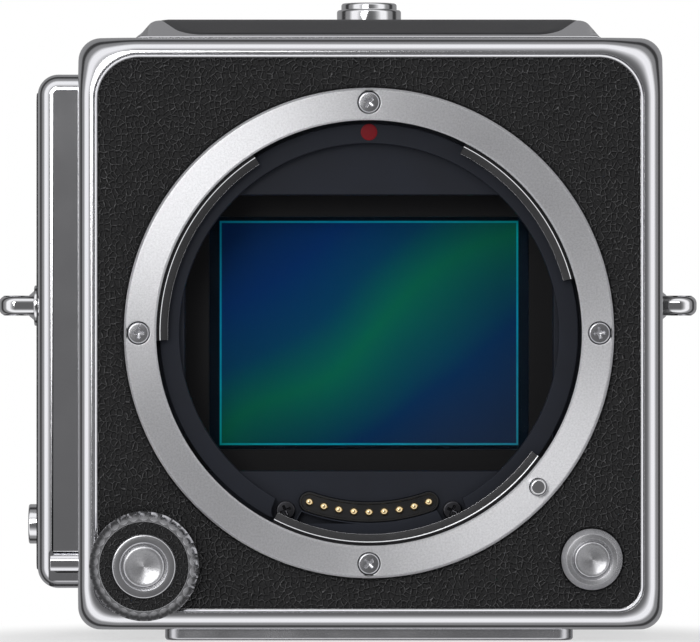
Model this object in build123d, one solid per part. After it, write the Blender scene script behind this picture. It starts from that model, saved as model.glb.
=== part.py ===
"""Medium format digital camera: a square camera body with a bayonet lens mount, and the digital back that
latches on behind it, with its sensor, battery, card reader, sockets, keys and tilting screen."""

from build123d import *
import math
import os

# The frame. The origin is on the optical axis, in the plane that a lens seats on. +X is to the right as seen
# from the front, +Y runs into the camera, +Z is up. Sizes are in millimetres, angles in degrees.

# General
OVERRUN = 1.0            # how far a cut runs past the face it opens
FIT = 0.05               # radial clearance of a running fit
SEAT_GAP = 0.1           # gap round a piece that sits in a pocket
PART_GAP = 0.3           # gap between neighbouring assemblies and round moving caps

# Body shell
BODY_WIDTH = 84.0
BODY_HEIGHT = 84.8
BODY_CREST_Y = 0.6       # crest of the bezel, behind the lens seat
BODY_REAR_Y = 24.0
BODY_CORNER_R = 3.2
BODY_EDGE_R = 1.5
BODY_REAR_EDGE_R = 0.5
BEZEL_SIDE = 2.8
BEZEL_TOP = 2.6
BEZEL_SLOPE = 0.6        # width of the bezel's inner slope
BEZEL_LIP = 0.3          # width of the bright lip round the leather
LIP_DEPTH = 0.4          # lip behind the crest
POCKET_TOP_R = 6.1
POCKET_BOTTOM_R = 3.4
LEDGE = 0.9              # step in the wall that the front plate seats on
HALF_W = BODY_WIDTH / 2
HALF_H = BODY_HEIGHT / 2
HALF_FACE = min(HALF_W, HALF_H)      # the mount follows the smaller side

# Front plate and leather
LEATHER_Y = 1.2
LEATHER_T = 0.7
PLATE_Y = LEATHER_Y + LEATHER_T
PLATE_T = 2.5
PLATE_REAR_Y = PLATE_Y + PLATE_T

# Lens mount ring
RING_MARGIN = 6.7        # from the body's side to the ring
RING_WIDTH = 4.65
RING_R = HALF_FACE - RING_MARGIN
RING_BORE_R = RING_R - RING_WIDTH
RING_RELIEF = 0.5        # the bore is this much wider behind its seat
RING_HUB_T = 1.25
RING_HUB_R = RING_BORE_R + RING_HUB_T
RING_CHAMFER = 0.25
TAB_REACH = 1.65
TAB_R = RING_BORE_R - TAB_REACH
TAB_Y = 1.75
TAB_T = 1.55
TAB_SLOPE = 0.55
TAB_ROUND = 0.4
TAB_SPANS = ((15, 63), (123, 182), (243, 324))   # start and end of each bayonet tab
SCREW_INSET = 2.1        # from the ring's edge to its screws
SCREW_CIRCLE_R = RING_R - SCREW_INSET
SCREW_HEAD_R = 1.6
SCREW_HEAD_T = 0.9
SCREW_SINK = 0.1         # head below the ring's face
SCREW_SHANK_R = 0.9
SCREW_LENGTH = 4.0
SCREW_TURNS = (8, 52, 2, 44)     # how far each cross recess is turned
CROSS_SPAN = 1.7
CROSS_WIDTH = 0.42
CROSS_DEPTH = 0.5

# Light baffle in the throat
BAFFLE_CLEARANCE = 0.45
BAFFLE_STEP_W = 2.8
BAFFLE_R = RING_BORE_R - BAFFLE_CLEARANCE
BAFFLE_Y = 3.4
BAFFLE_STEP_R = BAFFLE_R - BAFFLE_STEP_W
BAFFLE_FLOOR_Y = 5.0
BAFFLE_FLANGE_INSET = 0.7
BAFFLE_FLANGE_R = RING_R - BAFFLE_FLANGE_INSET
BAFFLE_FLANGE_T = 1.6
BOX_SIDE = 0.7           # from the step to the opening's ends
BOX_SILL = 5.9           # from the pins' arc up to the opening
BOX_HALF_W = BAFFLE_STEP_R - BOX_SIDE
BOX_WALL = 0.6
BOX_REAR_Y = 13.6
INDEX_DOT_R = 1.2
INDEX_DOT_OUT = 1.6
INDEX_DOT_Z = BAFFLE_STEP_R + INDEX_DOT_OUT
INDEX_DOT_T = 0.5
INDEX_DOT_PROUD = 0.1

# Lens contacts
CONTACT_INSET = 1.5
CONTACT_R = BAFFLE_STEP_R - CONTACT_INSET      # radius of the arc of pins
BOX_HALF_H = CONTACT_R - BOX_SILL
DOWN = -90               # clock angle of the lowest point
CONTACT_COUNT = 9
CONTACT_STEP_ANGLE = 4.87     # degrees between pins
CONTACT_PIN_R = 0.62
CONTACT_PROUD = 0.7
CONTACT_TRAVEL = 0.6
CONTACT_HALF_W = 1.45
CONTACT_RIM = 0.35
CONTACT_RIM_H = 0.2
CONTACT_Y = 4.2
CONTACT_DEPTH = 4.4
BLOCK_SCREW_OUT = 0.95
BLOCK_SCREW_R = BAFFLE_STEP_R + BLOCK_SCREW_OUT
BLOCK_SCREW_ANGLES = (244.8, 295.2)
BLOCK_SCREW_HEAD_R = 1.45
BLOCK_SCREW_HEAD_T = 0.8
BLOCK_SCREW_NOTCH = 0.55
BLOCK_SCREW_LENGTH = 3.0

# Control dial with the shutter button in its middle
DIAL_SIDE = 9.7          # from the body's side and foot to the dial's axis
DIAL_LIFT = 8.9
DIAL_X = DIAL_SIDE - HALF_W
DIAL_Z = DIAL_LIFT - HALF_H
DIAL_R = 7.9
DIAL_FRONT_Y = -3.3
DIAL_REAR_Y = 0.25
DIAL_BEVEL = 0.9
DIAL_FLUTES = 30
DIAL_FLUTE_R = 0.85
DIAL_FLUTE_DEPTH = 0.3
DIAL_INLAY_R = 6.6
DIAL_INLAY_T = 0.5
DIAL_FOOT_R = 5.6
COLLAR_R = 4.58
COLLAR_SLEEVE_R = 4.2
COLLAR_FRONT_Y = -3.7
COLLAR_RIM_T = 0.6
COLLAR_FLOOR_T = 1.2
SHUTTER_R = 2.97
SHUTTER_FRONT_Y = -4.0
SHUTTER_CAP_T = 1.6
SHUTTER_STEM_R = 1.2
SHUTTER_TRAVEL = 1.2
SHUTTER_TAIL = 1.4       # stem beyond the collar's floor
SHUTTER_DISH = 0.25

# Lens release button and lock pin
RELEASE_SIDE = 9.9
RELEASE_LIFT = 9.8
RELEASE_X = HALF_W - RELEASE_SIDE
RELEASE_Z = RELEASE_LIFT - HALF_H
RELEASE_COLLAR_R = 4.42
RELEASE_COLLAR_RISE = 1.5
RELEASE_COLLAR_BEVEL = 0.75
RELEASE_RING_R = 2.95
RELEASE_RING_STEP = 0.25
RELEASE_R = 2.55
RELEASE_PROUD = 0.35
RELEASE_TRAVEL = 2.0
RELEASE_CAP_T = 2.0
RELEASE_STEM_R = 1.3
LOCK_PIN_R = 1.2
LOCK_PIN_ANGLE = -42.3
LOCK_PIN_INSET = 2.4
LOCK_PIN_CIRCLE_R = RING_R - LOCK_PIN_INSET
LOCK_PIN_PROUD = 1.6
BRIDGE_Y = 8.0
BRIDGE_T = 1.2
BRIDGE_END_R = 2.3
CUP_WALL = 1.0           # cup behind the bridge that holds the release spring
CUP_FLOOR_Y = 14.2
CUP_HALF = 3.6

# Coil springs
SPRING_WIRE_R = 0.2
SPRING_COIL_R = 2.0
SPRING_PITCH = 0.85
LATCH_COIL_R = 1.4

# Top ridge and name strip
RIDGE_FRONT_Y = 3.0
RIDGE_RISER = 0.7
RIDGE_DECK_Y = 9.8
RIDGE_RISE = 3.1
RIDGE_DECK_Z = HALF_H + RIDGE_RISE
RIDGE_SIDE = 7.9         # from the body's side to the ridge's foot
RIDGE_DRAFT = 2.8
RIDGE_BASE_HALF = HALF_W - RIDGE_SIDE
RIDGE_DECK_HALF = RIDGE_BASE_HALF - RIDGE_DRAFT
RIDGE_ROUND = 2.2
STRIP_T = 0.5
STRIP_FRONT_SIDE = 4.5   # from the deck's end to the strip, at the front and on the deck
STRIP_DECK_SIDE = 1.1
STRIP_FRONT_HALF = RIDGE_DECK_HALF - STRIP_FRONT_SIDE
STRIP_DECK_HALF = RIDGE_DECK_HALF - STRIP_DECK_SIDE
STRIP_FRONT_MARGIN = 0.5
STRIP_CORNER_R = 2.4

# Side cheek on the left
CHEEK_OUT = 6.2
CHEEK_DROP = 4.8         # from the body's top to the cheek, and from its foot up to it
CHEEK_LIFT = 5.3
CHEEK_TOP_Z = HALF_H - CHEEK_DROP
CHEEK_BOTTOM_Z = CHEEK_LIFT - HALF_H
CHEEK_FRONT_Y = 9.0
CHEEK_EDGE_R = 2.3
CHEEK_CORNER_R = 3.0
CHEEK_WALL = 1.4
CHEEK_GROOVE_UP = 1.7
CHEEK_GROOVE_Z = CHEEK_BOTTOM_Z + CHEEK_GROOVE_UP
CHEEK_GROOVE_H = 0.8
CHEEK_GROOVE_DEPTH = 0.9
CHEEK_BLOCK_H = 3.4
CHEEK_BLOCK_PROUD = 0.5
CHEEK_BLOCK_MARGIN = 2.3
CHEEK_X = -HALF_W - CHEEK_OUT

# Strap lugs
LUG_Y = 16.0
LUG_Z = 4.0
LUG_FLANGE_R = 2.95
LUG_FLANGE_T = 0.7
LUG_REACH = 5.9          # from the side face to the loop's tip
LUG_T = 2.9
LUG_LOOP_R = 2.6
LUG_HOLE_R = 1.5
LUG_STUD_R = 1.4
LUG_ROUND = 0.9

# Bottom plate, tripod bush, feet
BASE_SIDE = 12.5
BASE_HALF = HALF_W - BASE_SIDE
BASE_T = 2.0
BASE_FRONT_Y = 3.5
BASE_REAR_Y = 23.4
BASE_CORNER_R = 2.2
BASE_EDGE_R = 0.45
BUSH_R = 6.0
BUSH_HEIGHT = 8.0
BUSH_BORE_R = 2.54       # core of a 1/4 inch thread
BUSH_Y = 13.4
BASE_SCREW_SIDE = 5.5
BASE_SCREW_X = BASE_HALF - BASE_SCREW_SIDE
BASE_SCREW_INSET = 3.5   # from the plate's front and rear edges
FOOT_SIDE = 9.0
FOOT_X = HALF_W - FOOT_SIDE
FOOT_Y = 12.0
FOOT_R = 1.9
FOOT_T = 0.6

# Rear plate of the body, and the latch and hooks that hold the back
REAR_PLATE_Y = 21.6
REAR_PLATE_T = 1.8
SENSOR_PORT_GAP = 0.6     # round the sensor's frame
HOOK_SIDE = 22.0
HOOK_X = HALF_W - HOOK_SIDE
HOOK_W = 3.0
HOOK_BARB = 2.0
HOOK_H = 2.0
HOOK_BARB_T = 1.4
LATCH_DROP = 5.8
LATCH_Z = HALF_H - LATCH_DROP
LATCH_TRAVEL = 3.0
TONGUE_LIFT = 6.4
TONGUE_Z = TONGUE_LIFT - HALF_H
TONGUE_H = 1.8
TONGUE_W = 6.0
TONGUE_REACH = 1.0       # beyond the body's rear plate

# Digital back
BACK_FRONT_Y = BODY_REAR_Y + PART_GAP
BACK_REAR_Y = 73.0
BACK_WALL = 2.0
BACK_INSET = 0.2
BACK_TOP_TAPER = 3.2
BACK_BOTTOM_TAPER = 2.6
BACK_TOP_Z = HALF_H - BACK_INSET
BACK_REAR_TOP_Z = BACK_TOP_Z - BACK_TOP_TAPER
BACK_REAR_BOTTOM_Z = BACK_BOTTOM_TAPER - BACK_TOP_Z
BACK_BEND_Y = 50.0
BACK_BEND_R = 30.0
BACK_EDGE_R = 3.0
BACK_SIDE_EDGE_R = 4.0
BACK_RIM_R = 0.7
WING_OUT = 6.2
WING_TOP_Z = CHEEK_TOP_Z
WING_BOTTOM_Z = CHEEK_BOTTOM_Z
WING_END_Y = 69.0
WING_EDGE_R = 5.6
WING_CORNER_R = 3.0
WING_X = -HALF_W - WING_OUT
TOP_COVER_END_Y = 46.0
TOP_COVER_SLOPE = 6.0
PAD_FRONT_Y = 26.0
PAD_REAR_Y = 58.0
PAD_CORNER_R = 3.0
REAR_PANEL_T = 1.6
REAR_PANEL_SIDE = 4.4    # from the back's side, rear top edge and rear foot
REAR_PANEL_DROP = 2.8
REAR_PANEL_LIFT = 2.7
REAR_PANEL_HALF_W = HALF_W - REAR_PANEL_SIDE
REAR_PANEL_TOP_Z = BACK_REAR_TOP_Z - REAR_PANEL_DROP
REAR_PANEL_BOTTOM_Z = BACK_REAR_BOTTOM_Z + REAR_PANEL_LIFT
REAR_PANEL_R = 4.0
REAR_PANEL_LEDGE = 1.2
SIDE_LEATHER_T = 0.5
SIDE_LEATHER_MARGIN = 3.0
SIDE_LEATHER_R = 2.0
BACK_SIDE_PANEL_END_Y = 41.5

# Release button on top
TOP_BUTTON_Y = 32.0
TOP_BUTTON_R = 4.75
TOP_BUTTON_H = 2.3
TOP_BUTTON_CAP_R = 4.1
TOP_BUTTON_CAP_H = 1.0
TOP_BUTTON_STEM_R = 1.7
TOP_BUTTON_EDGE_R = 0.3
SLIDER_T = 1.4
SLIDER_END = 4.0         # beyond the hooks
SLIDER_HALF_W = HOOK_X + SLIDER_END
SLIDER_FRONT_Y = 27.0
SLIDER_REAR_Y = 37.0
SPRING_TAB_X = -1.0      # right face of the slider's tab that the latch spring pushes on
SPRING_TAB_T = 1.4
SPRING_TAB_DROP = 4.0
SPRING_POST_X = 9.0      # left face of the fixed post at the spring's other end

# Sensor
SENSOR_PLANE_Y = 18.14   # distance from lens seat to sensor
SENSOR_W = 43.8
SENSOR_H = 32.9
SENSOR_MARGIN = 5.0
SENSOR_T = 2.2
WINDOW_LAP_W = 1.55       # the cover glass beyond the sensor, at each side and at top and foot
WINDOW_LAP_H = 0.65
WINDOW_W = SENSOR_W + 2 * WINDOW_LAP_W
WINDOW_H = SENSOR_H + 2 * WINDOW_LAP_H
WINDOW_T = 0.8
WINDOW_LEAD = 0.8        # rear face of the cover glass in front of the sensor plane
WINDOW_CLIP_W = 1.6
WINDOW_CLIP_H = 2.4
FRAME_FRONT_Y = 14.2
FRAME_WALL_W = 0.5       # the frame beyond the sensor's package
FRAME_WALL_H = 2.25
FRAME_HALF_W = SENSOR_W / 2 + SENSOR_MARGIN + FRAME_WALL_W
FRAME_HALF_H = (SENSOR_H + SENSOR_MARGIN) / 2 + FRAME_WALL_H
FRAME_REAR_Y = 27.9
FRAME_FLANGE = 3.0
FRAME_FLANGE_T = 1.5
SINK_T = 3.0
SINK_FIN_COUNT = 7
SINK_FIN_H = 2.0
SINK_FIN_T = 1.2

# Boards
BOARD_T = 1.6
MAIN_BOARD_Y = 33.0
MAIN_BOARD_SIDE = 6.0    # from the back's side, top and foot
MAIN_BOARD_DROP = 9.4
MAIN_BOARD_LIFT = 6.4
MAIN_BOARD_HALF_W = HALF_W - MAIN_BOARD_SIDE
MAIN_BOARD_TOP_Z = HALF_H - MAIN_BOARD_DROP
MAIN_BOARD_BOTTOM_Z = MAIN_BOARD_LIFT - HALF_H
CHIP_T = 1.2
CHIPS = ((-20.0, 14.0, 18.0), (6.0, 16.0, 13.0), (24.0, -14.0, 11.0), (-8.0, -16.0, 14.0))   # x, z, side
STANDOFF_R = 2.0
STANDOFF_INSET = 3.0
STANDOFF_X = MAIN_BOARD_HALF_W - STANDOFF_INSET
STANDOFF_Z = MAIN_BOARD_TOP_Z - STANDOFF_INSET

# Battery on the left
BATTERY_Y = 49.0
BATTERY_Z = 4.0
BATTERY_W = 22.0         # along Y
BATTERY_ENDS = 17.4      # from the body's top and foot
BATTERY_H = BODY_HEIGHT - 2 * BATTERY_ENDS     # along Z
BATTERY_SPARE = 24.0
BATTERY_LENGTH = BODY_WIDTH - BATTERY_SPARE     # along X, behind the cap
BATTERY_R = 2.5
BATTERY_GAP = 0.4
TRAY_WALL = 1.2
CAP_LAP = 2.0            # the cap's rim beyond the battery
CAP_W = BATTERY_W + 2 * CAP_LAP
CAP_H = BATTERY_H + 2 * CAP_LAP
CAP_T = 1.4
CAP_R = 3.0
CAP_PROUD = 0.2
CATCH_Y = BATTERY_Y
CATCH_LIFT = 8.0         # from the cap's foot
CATCH_Z = BATTERY_Z - CAP_H / 2 + CATCH_LIFT
CATCH_W = 8.0
CATCH_H = 5.0
CATCH_T = 0.9
CATCH_PROUD = 0.6
CATCH_TRAVEL = 2.0
CATCH_RIBS = 4
CATCH_RIB_W = 0.5

# Power button on the left
POWER_Y = 30.5
POWER_LIFT = 8.8
POWER_Z = WING_BOTTOM_Z + POWER_LIFT
POWER_R = 2.95
POWER_PROUD = 2.2
POWER_SEAT = 1.0         # depth of its counterbore
POWER_TRAVEL = 0.8
POWER_ROUND = 0.9
POWER_STEM_R = 1.0
POWER_DISH_R = 1.7

# Doors on the right
DOOR_FRONT_Y = 43.6
DOOR_REAR_Y = 65.6
DOOR_T = 1.6
DOOR_HINGE_R = 1.0
DOOR_PIN_R = 0.5
DOOR_KNUCKLE_H = 4.0
DOOR_EDGE_R = 0.4
DOOR_LIFT_W = 5.0        # finger notch behind the door's free edge
DOOR_FRAME = 2.4         # the door overlaps its opening by this much
DOOR_ENDS = 9.4          # from the body's top and foot to the doors
DOOR_MIDDLE = (1.0, -2.0)     # the upper door's foot and the lower door's top
CARD_DOOR_Z = (DOOR_MIDDLE[0], HALF_H - DOOR_ENDS)
PORT_DOOR_Z = (DOOR_ENDS - HALF_H, DOOR_MIDDLE[1])

# Card reader and cards
READER_DEPTH = 25.5      # from the body's side to the housing's far end
READER_X = HALF_W - READER_DEPTH
READER_Y = 54.0
READER_D = 18.6
READER_END = 1.5         # the housing is this much shorter than its door at each end
READER_Z = (CARD_DOOR_Z[0] + CARD_DOOR_Z[1]) / 2
READER_H = CARD_DOOR_Z[1] - CARD_DOOR_Z[0] - 2 * READER_END
SOCKET_SINK = 2.0        # reader and sockets behind the wall's inner face
CARD_T = 3.8
CARD_W = 12.0
CARD_PITCH = 9.0
CARD_PROUD = 1.4
CARD_LENGTH = 19.0

# Sockets
PORT_BLOCK_DEPTH = 12.0
PORT_BLOCK_X = HALF_W - PORT_BLOCK_DEPTH
PORT_BLOCK_Y = 54.0
PORT_BLOCK_D = 18.6
PORT_BLOCK_Z = (PORT_DOOR_Z[0] + PORT_DOOR_Z[1]) / 2
PORT_BLOCK_H = PORT_DOOR_Z[1] - PORT_DOOR_Z[0] - 2 * READER_END
USB_W = 3.2
USB_H = 9.0
USB_TONGUE_T = 0.7
JACK_R = 1.75
JACK_RIM_R = 3.0
JACK_INSETS = (3.5, 5.5)      # from the block's foot and top
JACK_Z = (JACK_INSETS[0] - PORT_BLOCK_H / 2, PORT_BLOCK_H / 2 - JACK_INSETS[1])    # from its middle
SOCKET_DEPTH = 6.5

# Screen
SCREEN_GAP = 0.5
SCREEN_SIDE = 1.6        # from the rear panel's side, top and foot
SCREEN_DROP = 5.0
SCREEN_LIFT = 12.3
SCREEN_HALF_W = REAR_PANEL_HALF_W - SCREEN_SIDE
SCREEN_TOP_Z = REAR_PANEL_TOP_Z - SCREEN_DROP
SCREEN_BOTTOM_Z = REAR_PANEL_BOTTOM_Z + SCREEN_LIFT
SCREEN_T = 6.5
SCREEN_R = 2.6
SCREEN_EDGE_R = 0.5
GLASS_MARGIN = 1.3
GLASS_T = 1.0
PANEL_T = 1.4
PANEL_MARGIN = 3.5       # from the screen's edges to the display
PANEL_HALF_W = SCREEN_HALF_W - PANEL_MARGIN
PANEL_HALF_H = (SCREEN_TOP_Z - SCREEN_BOTTOM_Z) / 2 - PANEL_MARGIN
SCREEN_BACK_T = 1.2
HINGE_Y = 75.0
HINGE_DROP = 2.5         # from the axis down to the screen's top edge
HINGE_R = 1.9
HINGE_PIN_R = 0.8
HINGE_INNER_X = 14.0
HINGE_SPLIT_X = 21.0
HINGE_OUTER_X = 28.0
HINGE_SIDE_GAP = 0.15

# Rear keys
KEY_LIFT = 6.2           # from the rear panel's foot
KEY_SIDE = 11.6          # from its side to the outer keys
KEY_COUNT = 5
KEY_Z = REAR_PANEL_BOTTOM_Z + KEY_LIFT
KEY_PITCH = 2 * (REAR_PANEL_HALF_W - KEY_SIDE) / (KEY_COUNT - 1)
KEY_R = 2.3
KEY_PROUD = 0.9
KEY_TRAVEL = 0.6
KEY_LIP = 0.6
KEY_LIP_T = 0.6
KEY_BOARD_GAP = 0.9
KEY_BOARD_SIDE = 4.1
KEY_BOARD_HALF_W = REAR_PANEL_HALF_W - KEY_BOARD_SIDE
KEY_BOARD_HALF_H = 4.0

NODES = {}


def at_depth(y):
    """Sketch plane facing the front at depth y; its axes are X and Z."""
    return Plane(origin=(0, y, 0), x_dir=(1, 0, 0), z_dir=(0, -1, 0))


def slab(sketch, y_front, y_rear):
    """Front-view sketch carried from y_front back to y_rear."""
    return extrude(at_depth(y_rear) * sketch, amount=y_rear - y_front)


def side_slab(sketch, x_left, x_right):
    """Side-view sketch, in Y and Z, carried from x_left to x_right."""
    return extrude(Plane.YZ.offset(x_left) * sketch, amount=x_right - x_left)


def level_slab(sketch, z_low, z_high):
    """Plan sketch, in X and Y, carried from z_low up to z_high."""
    return extrude(Plane.XY.offset(z_low) * sketch, amount=z_high - z_low)


def disc(radius, y_front, y_rear, x=0, z=0):
    """Round bar along Y."""
    return slab(Pos(x, z) * Circle(radius), y_front, y_rear)


def block(x0, x1, y0, y1, z0, z1):
    """Box between two corners."""
    return Pos((x0 + x1) / 2, (y0 + y1) / 2, (z0 + z1) / 2) * Box(x1 - x0, y1 - y0, z1 - z0)


def dished_cap(radius, length, edge_r, dish_r, dish):
    """Round cap along +Y whose face at y = 0 has a rounded rim and a shallow bowl in the middle."""
    bowl_r = (dish_r ** 2 + dish ** 2) / (2 * dish)
    half = dish_r / 2
    mid = (half, dish - bowl_r + math.sqrt(bowl_r ** 2 - half ** 2))
    turn = edge_r * (1 - math.sqrt(0.5))
    outline = Curve() + [
        ThreePointArc((0, dish), mid, (dish_r, 0)),
        Line((dish_r, 0), (radius - edge_r, 0)),
        ThreePointArc((radius - edge_r, 0), (radius - turn, turn), (radius, edge_r)),
        Polyline((radius, edge_r), (radius, length), (0, length), (0, dish)),
    ]
    return revolve(make_face(outline), Axis.Y, 360)


def on_circle(radius, angle):
    """X and Z of a point on a circle round the optical axis."""
    return radius * math.cos(math.radians(angle)), radius * math.sin(math.radians(angle))


def arc_slot(radius, half_width, half_angle, middle=DOWN):
    """Front-view outline of a slot bent along a circle round the optical axis."""
    ends = [on_circle(radius, middle + side * half_angle) for side in (-1, 1)]
    mid = on_circle(radius, middle)
    return SlotArc(ThreePointArc(ends[0], mid, ends[1]), 2 * half_width)


def coil(seat, direction, length, coil_r=SPRING_COIL_R):
    """Compression spring that starts at a seat and fills a length along a direction."""
    margin = SPRING_WIRE_R + FIT
    low = Vector(*seat) + Vector(*direction) * margin
    path = Helix(SPRING_PITCH, length - 2 * margin, coil_r, center=tuple(low), direction=direction)
    start = Plane(origin=path @ 0, z_dir=path % 0)
    return sweep(start * Circle(SPRING_WIRE_R), path=path, is_frenet=True)


def cross_recess(span, width, depth, turn):
    """Cutter for a cross recess in a screw head whose face is at y = 0."""
    arm = block(-span / 2, span / 2, -OVERRUN, depth, -width / 2, width / 2)
    return Rot(0, turn, 0) * (arm + Rot(0, 90, 0) * arm)


def add(name, shape):
    """Keeps a finished sub-part under its name."""
    NODES[name] = shape


def pocket_outline(inset):
    """Outline of the front pocket, drawn in by inset from the edge of the leather."""
    face = Rectangle(BODY_WIDTH - 2 * (BEZEL_SIDE + inset), BODY_HEIGHT - 2 * (BEZEL_TOP + inset))
    face = fillet(face.vertices().group_by(Axis.Y)[-1], POCKET_TOP_R - inset)
    return fillet(face.vertices().group_by(Axis.Y)[0], POCKET_BOTTOM_R - inset)


# Body shell and what it carries

def body_shell():
    """Square frame with a rounded bezel, open behind, with a ledge inside for the front plate."""
    shell = slab(RectangleRounded(BODY_WIDTH, BODY_HEIGHT, BODY_CORNER_R), BODY_CREST_Y, BODY_REAR_Y)
    shell = fillet(shell.edges().group_by(Axis.Y)[0], BODY_EDGE_R)
    shell = fillet(shell.edges().group_by(Axis.Y)[-1], BODY_REAR_EDGE_R)
    lip_y = BODY_CREST_Y + LIP_DEPTH
    mouth = pocket_outline(-BEZEL_LIP - BEZEL_SLOPE)
    slope = loft([at_depth(BODY_CREST_Y) * mouth, at_depth(lip_y) * pocket_outline(-BEZEL_LIP)])
    shell -= slope + slab(mouth, BODY_CREST_Y - OVERRUN, BODY_CREST_Y)
    shell -= slab(pocket_outline(0), lip_y - OVERRUN / 2, PLATE_REAR_Y)
    shell -= slab(pocket_outline(LEDGE), BODY_CREST_Y, BODY_REAR_Y + OVERRUN)
    bush_hole = Pos(0, BUSH_Y) * Circle(BUSH_R + SEAT_GAP)
    shell -= level_slab(bush_hole, -HALF_H - OVERRUN, -HALF_H + BEZEL_TOP + LEDGE + OVERRUN)
    shell -= side_slab(Pos(LUG_Y, LUG_Z) * Circle(LUG_STUD_R + FIT), HALF_W - BEZEL_SIDE - LEDGE - OVERRUN,
                       HALF_W + OVERRUN)
    for quarter in base_screw_places():
        shell -= Pos(*quarter, -HALF_H) * Cylinder(SCREW_SHANK_R + FIT, 2 * SCREW_LENGTH)
    return shell - side_leather(BODY_CREST_Y + SIDE_LEATHER_MARGIN, BODY_REAR_Y - SIDE_LEATHER_MARGIN / 2)


def side_leather(front, rear):
    """Leather on the right side between two depths, set into the wall and cut out round the strap lug."""
    outline = RectangleRounded(rear - front, BODY_HEIGHT - 4 * SIDE_LEATHER_MARGIN, SIDE_LEATHER_R)
    outline = Pos((front + rear) / 2, 0) * outline
    outline -= Pos(LUG_Y, LUG_Z) * Circle(LUG_FLANGE_R + SEAT_GAP)
    return side_slab(outline, HALF_W - SIDE_LEATHER_T, HALF_W)


def side_leathers():
    """Leather on the right side of the body, and of the back ahead of its doors."""
    body = side_leather(BODY_CREST_Y + SIDE_LEATHER_MARGIN, BODY_REAR_Y - SIDE_LEATHER_MARGIN / 2)
    return body + side_leather(BACK_FRONT_Y + SIDE_LEATHER_MARGIN / 2, BACK_SIDE_PANEL_END_Y)


def front_plate():
    """Plate behind the leather; it carries the mount ring, the controls and the release spring's cup."""
    plate = slab(pocket_outline(SEAT_GAP), PLATE_Y, PLATE_REAR_Y)
    plate -= disc(RING_HUB_R + FIT, PLATE_Y - OVERRUN, PLATE_REAR_Y + OVERRUN)
    plate -= disc(COLLAR_SLEEVE_R + FIT, PLATE_Y - OVERRUN, PLATE_REAR_Y + OVERRUN, DIAL_X, DIAL_Z)
    plate -= disc(RELEASE_RING_R + FIT, PLATE_Y - OVERRUN, PLATE_REAR_Y + OVERRUN, RELEASE_X, RELEASE_Z)
    pin_x, pin_z = on_circle(LOCK_PIN_CIRCLE_R, LOCK_PIN_ANGLE)
    plate -= disc(LOCK_PIN_R + PART_GAP, PLATE_Y - OVERRUN, PLATE_REAR_Y + OVERRUN, pin_x, pin_z)
    for quarter in range(4):
        x, z = on_circle(SCREW_CIRCLE_R, 90 * quarter)
        plate -= disc(SCREW_SHANK_R + FIT, PLATE_Y - OVERRUN, PLATE_REAR_Y + OVERRUN, x, z)
    return plate + spring_cup()


def front_leather():
    """Leather sheet on the front plate, cut out for the ring and the controls."""
    sheet = slab(pocket_outline(SEAT_GAP), LEATHER_Y, PLATE_Y)
    sheet -= disc(RING_R + SEAT_GAP, LEATHER_Y - OVERRUN, PLATE_Y + OVERRUN)
    sheet -= disc(COLLAR_SLEEVE_R + SEAT_GAP, LEATHER_Y - OVERRUN, PLATE_Y + OVERRUN, DIAL_X, DIAL_Z)
    return sheet - disc(RELEASE_COLLAR_R + SEAT_GAP, LEATHER_Y - OVERRUN, PLATE_Y + OVERRUN,
                        RELEASE_X, RELEASE_Z)


def rear_plate():
    """Rear wall of the body, with the port for the sensor and slots for the latch hooks and tongues."""
    rear_y = REAR_PLATE_Y + REAR_PLATE_T
    plate = slab(pocket_outline(LEDGE + SEAT_GAP), REAR_PLATE_Y, rear_y)
    ahead, behind = REAR_PLATE_Y - OVERRUN, rear_y + OVERRUN
    port = Rectangle(2 * (FRAME_HALF_W + SENSOR_PORT_GAP), 2 * (FRAME_HALF_H + SENSOR_PORT_GAP))
    plate -= slab(port, ahead, behind)
    for x in (-HOOK_X, HOOK_X):
        width = HOOK_W + LATCH_TRAVEL + 2 * PART_GAP
        slot = Rectangle(width, HOOK_H + 2 * PART_GAP)
        plate -= slab(Pos(x + LATCH_TRAVEL / 2, LATCH_Z) * slot, ahead, behind)
        tongue_slot = Rectangle(TONGUE_W + 2 * PART_GAP, TONGUE_H + 2 * PART_GAP)
        plate -= slab(Pos(x, TONGUE_Z) * tongue_slot, ahead, behind)
    return plate


def ridge_profile(drop):
    """Side view of the top ridge, in Y and Z, with its upper surface lowered by drop."""
    outline = Polyline(
        (RIDGE_FRONT_Y, HALF_H), (RIDGE_FRONT_Y, HALF_H + RIDGE_RISER - drop),
        (RIDGE_DECK_Y, RIDGE_DECK_Z - drop), (BODY_REAR_Y, RIDGE_DECK_Z - drop), (BODY_REAR_Y, HALF_H),
        close=True)
    return make_face(outline)


def ridge_section(deck_z, base_z=HALF_H):
    """Front view of the ridge: a low trapezoid with rounded shoulders."""
    outline = Polyline(
        (-RIDGE_BASE_HALF, base_z), (-RIDGE_DECK_HALF, deck_z), (RIDGE_DECK_HALF, deck_z),
        (RIDGE_BASE_HALF, base_z), close=True)
    face = make_face(outline)
    return fillet(face.vertices().group_by(Axis.Y)[-1], RIDGE_ROUND)


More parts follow.
